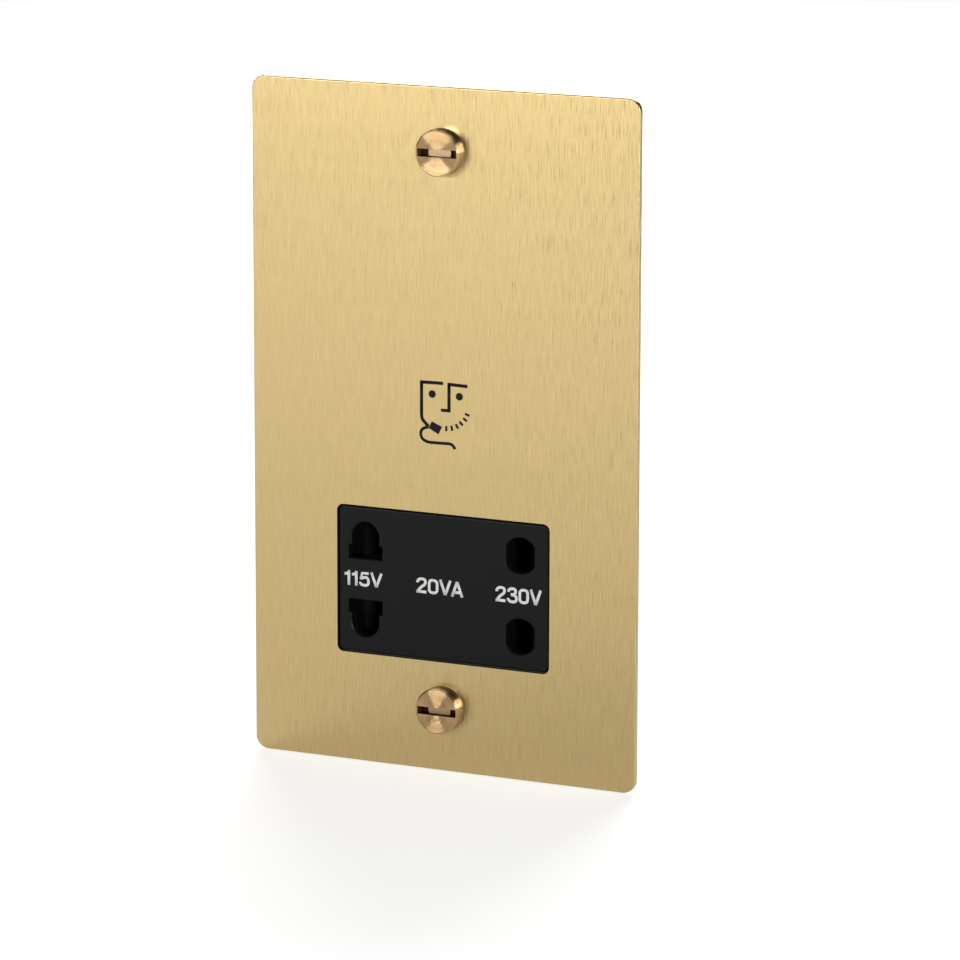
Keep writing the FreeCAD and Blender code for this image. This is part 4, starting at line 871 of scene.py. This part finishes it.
@dataclass
class ShaverFigure(Print):
    """The common line figure of a shaved face, printed on the plate above the socket."""

    depth: float = -1.2
    stroke: float = 0.76
    thickness: float = 0.03
    cord_stroke: float = 0.7
    eye: float = 0.83
    eye_sides: int = 32
    lines: tuple[tuple[Spot, ...], ...] = (
        ((-5.2, 10.7), (0.15, 10.8)),
        ((-4.9, 10.9), (-4.9, 4.0)),
        ((5.85, 10.6), (1.2, 10.7)),
        ((1.54, 10.9), (1.54, 4.66)),
        ((1.85, 5.0), (-0.35, 5.0)),
    )
    cheek: tuple[Spot, ...] = ((-4.9, 4.2), (-4.9, 3.0), (-4.35, 2.2), (-3.2, 1.2))
    cord: tuple[Spot, ...] = (
        (-3.2, 1.1), (-4.4, 0.9), (-5.2, -0.1), (-4.9, -1.5), (-3.6, -2.2),
        (-1.8, -2.2), (0.4, -2.15), (1.9, -2.1), (2.6, -2.5), (2.95, -3.2))
    eyes: tuple[Spot, ...] = ((-2.4, 8.3), (3.95, 8.25))
    shaver: tuple[Spot, ...] = ((-2.5, 2.4), (-0.1, 1.4), (-0.9, -0.3), (-3.2, 0.85))
    ticks: tuple[Spot, ...] = ((0.9, 1.1), (2.2, 1.3), (3.4, 1.8), (4.4, 2.5), (5.3, 3.4),
                               (5.8, 4.5))
    tick_size: Spot = (0.52, 1.1)
    jaw_middle: Spot = (0.9, 6.2)

    def disc(self, spot: Spot) -> bpy.types.Object:
        """A filled round eye.

        Args:
            spot: its middle, across and up in millimetres.

        Returns:
            The eye.
        """
        bpy.ops.mesh.primitive_cylinder_add(
            vertices=self.eye_sides, radius=self.eye * MM, depth=self.stroke * MM,
            location=(spot[0] * MM, 0, spot[1] * MM), rotation=(math.pi / 2, 0, 0))
        eye = bpy.context.object
        apply_place(eye)
        return eye

    def block(self, corners: tuple[Spot, ...]) -> bpy.types.Object:
        """A filled four-sided shape, its corners clockwise from the upper left.

        Args:
            corners: the four corners, across and up in millimetres.

        Returns:
            The shape.
        """
        bpy.ops.mesh.primitive_plane_add(size=1, location=(0, 0, 0), rotation=(math.pi / 2, 0, 0))
        shape = bpy.context.object
        apply_place(shape)
        half = self.stroke / 2 * MM
        for vertex in shape.data.vertices:
            if vertex.co.z > 0:
                across, up = corners[0] if vertex.co.x < 0 else corners[1]
            else:
                across, up = corners[3] if vertex.co.x < 0 else corners[2]
            vertex.co = (across * MM, half, up * MM)
        edit(shape)
        bpy.ops.mesh.extrude_region_move(TRANSFORM_OT_translate={"value": (0, -2 * half, 0)})
        leave_edit()
        return shape

    def tick(self, spot: Spot) -> bpy.types.Object:
        """One short dash of stubble, pointing away from the jaw's middle.

        Args:
            spot: its middle, across and up in millimetres.

        Returns:
            The dash.
        """
        away = (Vector(spot) - Vector(self.jaw_middle)).normalized() * self.tick_size[1] / 2
        side = Vector((-away.y, away.x)).normalized() * self.tick_size[0] / 2
        centre = Vector(spot)
        return self.block(tuple(tuple(corner) for corner in (
            centre - side + away, centre + side + away,
            centre + side - away, centre - side - away)))

    def build(self) -> None:
        """Make the figure as one thin print on the plate."""
        parts = [self.line(spots) for spots in self.lines]
        parts.append(self.line(self.cheek, Run.CURVED))
        parts.append(self.line(self.cord, Run.CURVED, self.cord_stroke))
        parts += [self.disc(spot) for spot in self.eyes]
        parts.append(self.block(self.shaver))
        parts += [self.tick(spot) for spot in self.ticks]
        self.finish("shaver_figure", "brushed_brass", parts, INK)


# Threads and solder


@dataclass(frozen=True)
class Thread:
    """A screw thread cut on a shank that runs straight back."""

    major: float
    minor: float
    pitch: float
    steps: int = 20
    root_overlap: float = 0.05
    crest_share: float = 0.12
    root_share: float = 0.98
    rod_sides: int = 48

    def ridge(self, across: float, level: float, front: float, back: float) -> bpy.types.Object:
        """The ridge between two depths, as a closed helical strip.

        Args:
            across: the axis's place, in millimetres.
            level: the axis's level, in millimetres.
            front: where the ridge begins, in millimetres.
            back: where it ends, in millimetres.

        Returns:
            The ridge.
        """
        bpy.ops.mesh.primitive_plane_add(size=1, location=(0, 0, 0))
        ridge = bpy.context.object
        edit(ridge)
        bpy.ops.mesh.delete(type="ONLY_FACE")
        leave_edit()
        inner = self.minor - self.root_overlap
        crest = self.pitch * self.crest_share
        profile = ((inner, 0.0), (self.major, self.pitch * 0.5 - crest),
                   (self.major, self.pitch * 0.5 + crest), (inner, self.pitch * self.root_share))
        order = {(-1, -1): 0, (1, -1): 1, (1, 1): 2, (-1, 1): 3}
        for vertex in ridge.data.vertices:
            side = (1 if vertex.co.x > 0 else -1, 1 if vertex.co.y > 0 else -1)
            reach, along = profile[order[side]]
            vertex.co = (reach * MM, along * MM, 0)
        wind(ridge, "Y", self.pitch, int((back - front) / self.pitch) - 1, self.steps)
        ridge.location = (across * MM, front * MM, level * MM)
        apply_place(ridge)
        return ridge

    def rod(self, across: float, level: float, front: float, back: float, radius: float,
            tip: float = 0.0) -> bpy.types.Object:
        """A plain round length, with its back end bevelled where a tip is given.

        Args:
            across: the axis's place, in millimetres.
            level: the axis's level, in millimetres.
            front: its front end's depth, in millimetres.
            back: its back end's depth, in millimetres.
            radius: its radius, in millimetres.
            tip: the bevel at its back end, in millimetres.

        Returns:
            The length of rod.
        """
        bpy.ops.mesh.primitive_cylinder_add(
            vertices=self.rod_sides, radius=radius * MM, depth=(back - front) * MM,
            location=(across * MM, (front + back) / 2 * MM, level * MM),
            rotation=(math.pi / 2, 0, 0))
        rod = bpy.context.object
        apply_place(rod)
        if tip:
            for face in rod.data.polygons:
                face.select = False
            for vertex in rod.data.vertices:
                vertex.select = vertex.co.y > (back - NEAR) * MM
            for edge in rod.data.edges:
                edge.select = all(rod.data.vertices[end].select for end in edge.vertices)
            only(rod)
            bpy.ops.object.mode_set(mode="EDIT")
            bpy.ops.mesh.select_mode(type="EDGE")
            bpy.ops.mesh.bevel(offset=tip * MM, segments=1)
            leave_edit()
        return rod


@dataclass
class WallScrews:
    """The two wall screws with their heads, plain necks and cut threads."""

    thread: Thread = Thread(major=1.75, minor=1.4, pitch=0.6)
    head: float = 2.6
    head_front: float = -2.6
    head_back: float = -1.2
    thread_front: float = 0.4
    end: float = 23.2
    tip: float = 0.4
    thread_gap: float = 0.2

    def build(self) -> None:
        """Make both screws as one piece that stands for the plain solids."""
        cut = self.thread
        parts = []
        for level in (FIXING_LEVEL, -FIXING_LEVEL):
            parts.append(cut.rod(0, level, self.head_front, self.head_back, self.head))
            parts.append(cut.rod(0, level, self.head_back, self.end, cut.minor, self.tip))
            parts.append(cut.ridge(0, level, self.thread_front, self.end - self.thread_gap))
        screws = join("wall_screws", parts)
        settle(screws, SCREW)
        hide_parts("fixing_screws")


@dataclass
class PlateStuds:
    """The four welded studs with their cut threads."""

    thread: Thread = Thread(major=1.5, minor=1.22, pitch=0.5)
    front: float = 0.0
    end: float = 8.0
    tip: float = 0.3
    thread_gap: float = 0.2

    def build(self) -> None:
        """Make the studs as one piece that stands for the plain solids."""
        low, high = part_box("plate_studs")
        cut = self.thread
        reach = (high[0] - low[0]) / 2 / MM - cut.major
        levels = (low[2] / MM + cut.major, high[2] / MM - cut.major)
        parts = []
        for across in (-reach, reach):
            for level in levels:
                parts.append(cut.rod(across, level, self.front, self.end, cut.minor, self.tip))
                parts.append(cut.ridge(across, level, self.front + self.thread_gap, self.end))
        studs = join("threaded_studs", parts)
        settle(studs, BY_SLOT["zinc_steel"])
        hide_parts("plate_studs")


@dataclass
class CentringSpring:
    """The coil spring across the slider, which shortens as the slider moves off its middle."""

    length: float = 18.0
    diameter: float = 3.6
    wire: float = 0.45
    wire_sides: int = 12
    turns: int = 8
    steps: int = 28
    depth: float = 5.2
    kept: float = 0.62

    def build(self) -> None:
        """Wind the spring that stands for the plain solid."""
        bpy.ops.object.select_all(action="DESELECT")
        bpy.ops.mesh.primitive_circle_add(
            vertices=self.wire_sides, radius=self.wire / 2 * MM,
            location=((self.diameter - self.wire) / 2 * MM, 0, 0),
            rotation=(math.pi / 2, 0, 0))
        spring = bpy.context.object
        spring.name = "wound_spring"
        apply_place(spring)
        run = self.length - self.wire
        wind(spring, "Z", run / self.turns, self.turns, self.steps)
        middle = (0, self.depth * MM, SOCKET_LEVEL * MM)
        spring.rotation_euler = (0, math.pi / 2, 0)
        spring.location = (-run / 2 * MM, *middle[1:])
        apply_place(spring)
        settle(spring, BY_SLOT["spring_steel"])
        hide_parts("centring_spring")
        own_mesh(spring)


@dataclass
class SolderJoints:
    """The soldered joints where leads meet tags and contact tails."""

    tag_depth: float = 35.9
    tags: tuple[Spot, ...] = ((-5, 46.1), (5, 46.1), (-10, -0.8), (0, -0.8), (10, -0.8))
    tag_drop: Triple = (1.15, 1.05, 1.5)
    tail_depth: float = 25.05
    tails: tuple[Spot, ...] = ((0.0, -27.3), (0.0, -22.3), (-18.55, -28.17), (18.0, -28.17))
    tail_drop: Triple = (0.95, 1.0, 1.5)
    link_depth: float = 25.65
    link: tuple[Spot, ...] = ((6.0, -39.43),)
    link_drop: Triple = (1.3, 0.7, 1.3)

    def drop(self, place: Triple, size: Triple) -> bpy.types.Object:
        """A drop of solder, fuller towards its middle.

        Args:
            place: its centre, in millimetres.
            size: its half sizes, in millimetres.

        Returns:
            The drop.
        """
        bpy.ops.mesh.primitive_uv_sphere_add(segments=20, ring_count=12, radius=1,
                                             location=(0, 0, 0))
        solder = bpy.context.object
        solder.scale = [half * MM for half in size]
        solder.location = [part * MM for part in place]
        apply_place(solder)
        return solder

    def build(self) -> None:
        """Make all the joints as one piece."""
        drops = [self.drop((across, depth, level), size)
                 for spots, depth, size in ((self.tags, self.tag_depth, self.tag_drop),
                                            (self.tails, self.tail_depth, self.tail_drop),
                                            (self.link, self.link_depth, self.link_drop))
                 for across, level in spots]
        settle(join("solder_joints", drops), SOLDER)


# The studio


@dataclass
class Camera:
    """The camera at the photograph's angle: a long lens, a little from the right and above.

    Angles are in degrees. The focal length and the optical middle are in pixels of the frame.
    """

    azimuth: float = 25.27
    elevation: float = 11.52
    distance: float = 1.075
    yaw: float = 25.21
    pitch: float = 11.72
    roll: float = 0.06
    focal: float = 5062.0
    middle: Spot = (450.0, 450.0)
    frame_size: float = 960.0
    sensor: float = 36.0
    clip: Spot = (0.01, 50.0)

    def place(self) -> Vector:
        """Where the camera stands.

        Returns:
            The place, in metres.
        """
        azimuth, elevation = math.radians(self.azimuth), math.radians(self.elevation)
        return self.distance * Vector((math.sin(azimuth) * math.cos(elevation),
                                       -math.cos(azimuth) * math.cos(elevation),
                                       math.sin(elevation)))

    def turn(self) -> Matrix:
        """How the camera is turned.

        Returns:
            The turn, with its right, its up and its back as columns.
        """
        yaw, pitch, roll = (math.radians(a) for a in (self.yaw, self.pitch, self.roll))
        forward = Vector((-math.sin(yaw) * math.cos(pitch), math.cos(yaw) * math.cos(pitch),
                          -math.sin(pitch)))
        right = Vector((math.cos(yaw), math.sin(yaw), 0))
        up = right.cross(forward)
        return Matrix((right * math.cos(roll) + up * math.sin(roll),
                       up * math.cos(roll) - right * math.sin(roll), -forward)).transposed()

    def build(self) -> None:
        """Add the camera and look through it."""
        data = bpy.data.cameras.new("camera")
        data.sensor_width = self.sensor
        data.sensor_fit = "HORIZONTAL"
        data.lens = self.focal / self.frame_size * self.sensor
        data.shift_x = (self.frame_size / 2 - self.middle[0]) / self.frame_size
        data.shift_y = (self.middle[1] - self.frame_size / 2) / self.frame_size
        data.clip_start, data.clip_end = self.clip
        camera = bpy.data.objects.new("camera", data)
        matrix = self.turn().to_4x4()
        matrix.translation = self.place()
        camera.matrix_world = matrix
        bpy.context.scene.collection.objects.link(camera)
        bpy.context.scene.camera = camera


@dataclass
class Studio:
    """A plain pale floor and soft lamps, each with its place, its size and its watts."""

    floor_level: float = -0.0742
    floor_size: float = 14.0
    floor_colour: Colour = (0.8, 0.8, 0.8)
    glow: float = 0.49
    surround: float = 0.08
    lamps: tuple[tuple[str, Triple, Spot, float], ...] = (
        ("front_softbox", (-0.33, -0.71, 0.170), (0.5, 0.12), 3.6),
        ("near_right_softbox", (0.72, -0.78, 0.10), (0.16, 0.2), 3.2),
        ("far_right_softbox", (0.90, -0.40, 0.28), (0.32, 0.55), 5.4),
        ("rear_softbox", (-0.35, 1.05, 0.75), (0.9, 0.9), 15.0),
    )

    def floor(self) -> None:
        """A pale floor that shows the object's shadow."""
        bpy.ops.mesh.primitive_plane_add(size=self.floor_size, location=(0, 0, self.floor_level))
        floor = bpy.context.object
        floor.name = "floor"
        material = bpy.data.materials.new("floor_paper")
        material.use_nodes = True
        tree = material.node_tree
        tree.nodes.clear()
        out = tree.nodes.new("ShaderNodeOutputMaterial")
        paper = tree.nodes.new("ShaderNodeBsdfDiffuse")
        paper.inputs["Color"].default_value = (*self.floor_colour, 1)
        glow = tree.nodes.new("ShaderNodeEmission")
        seen = tree.nodes.new("ShaderNodeAddShader")
        path = tree.nodes.new("ShaderNodeLightPath")
        steps = []
        for operation in ("MAXIMUM", "MAXIMUM", "MULTIPLY"):
            steps.append(tree.nodes.new("ShaderNodeMath"))
            steps[-1].operation = operation
        steps[2].inputs[1].default_value = self.glow
        link(tree, (
            (path.outputs["Is Camera Ray"], steps[0].inputs[0]),
            (path.outputs["Is Glossy Ray"], steps[0].inputs[1]),
            (steps[0].outputs[0], steps[1].inputs[0]),
            (path.outputs["Is Transmission Ray"], steps[1].inputs[1]),
            (steps[1].outputs[0], steps[2].inputs[0]),
            (steps[2].outputs[0], glow.inputs["Strength"]),
            (paper.outputs[0], seen.inputs[0]),
            (glow.outputs[0], seen.inputs[1]),
            (seen.outputs[0], out.inputs["Surface"])))
        floor.data.materials.append(material)

    def world(self) -> None:
        """An even pale surround."""
        world = bpy.data.worlds.new("surround")
        world.use_nodes = True
        back = next(n for n in world.node_tree.nodes if n.type == "BACKGROUND")
        back.inputs["Color"].default_value = (1, 1, 1, 1)
        back.inputs["Strength"].default_value = self.surround
        bpy.context.scene.world = world

    def lamp(self, name: str, place: Triple, size: Spot, power: float) -> None:
        """A soft rectangular lamp aimed at the object.

        Args:
            name: its name.
            place: where it stands, in metres.
            size: its width and height, in metres.
            power: its power, in watts.
        """
        light = bpy.data.lights.new(name, "AREA")
        light.shape = "RECTANGLE"
        light.size, light.size_y = size
        light.energy = power
        lamp = bpy.data.objects.new(name, light)
        lamp.location = place
        lamp.rotation_euler = (-Vector(place)).to_track_quat("-Z", "Y").to_euler()
        lamp.visible_camera = False
        bpy.context.scene.collection.objects.link(lamp)

    def build(self) -> None:
        """Set up the floor, the surround and the lamps."""
        self.floor()
        self.world()
        for name, place, size, power in self.lamps:
            self.lamp(name, place, size, power)
        bpy.context.scene.view_settings.view_transform = "Standard"


def main() -> None:
    """Build each sub-assembly in order."""
    logging.basicConfig(level=logging.INFO, format="%(name)s: %(message)s")
    Materials.dress_nodes()
    Ratings().build()
    ShaverFigure().build()
    WallScrews().build()
    PlateStuds().build()
    CentringSpring().build()
    SolderJoints().build()
    Studio().build()
    Camera().build()


if __name__ == "__main__":
    main()
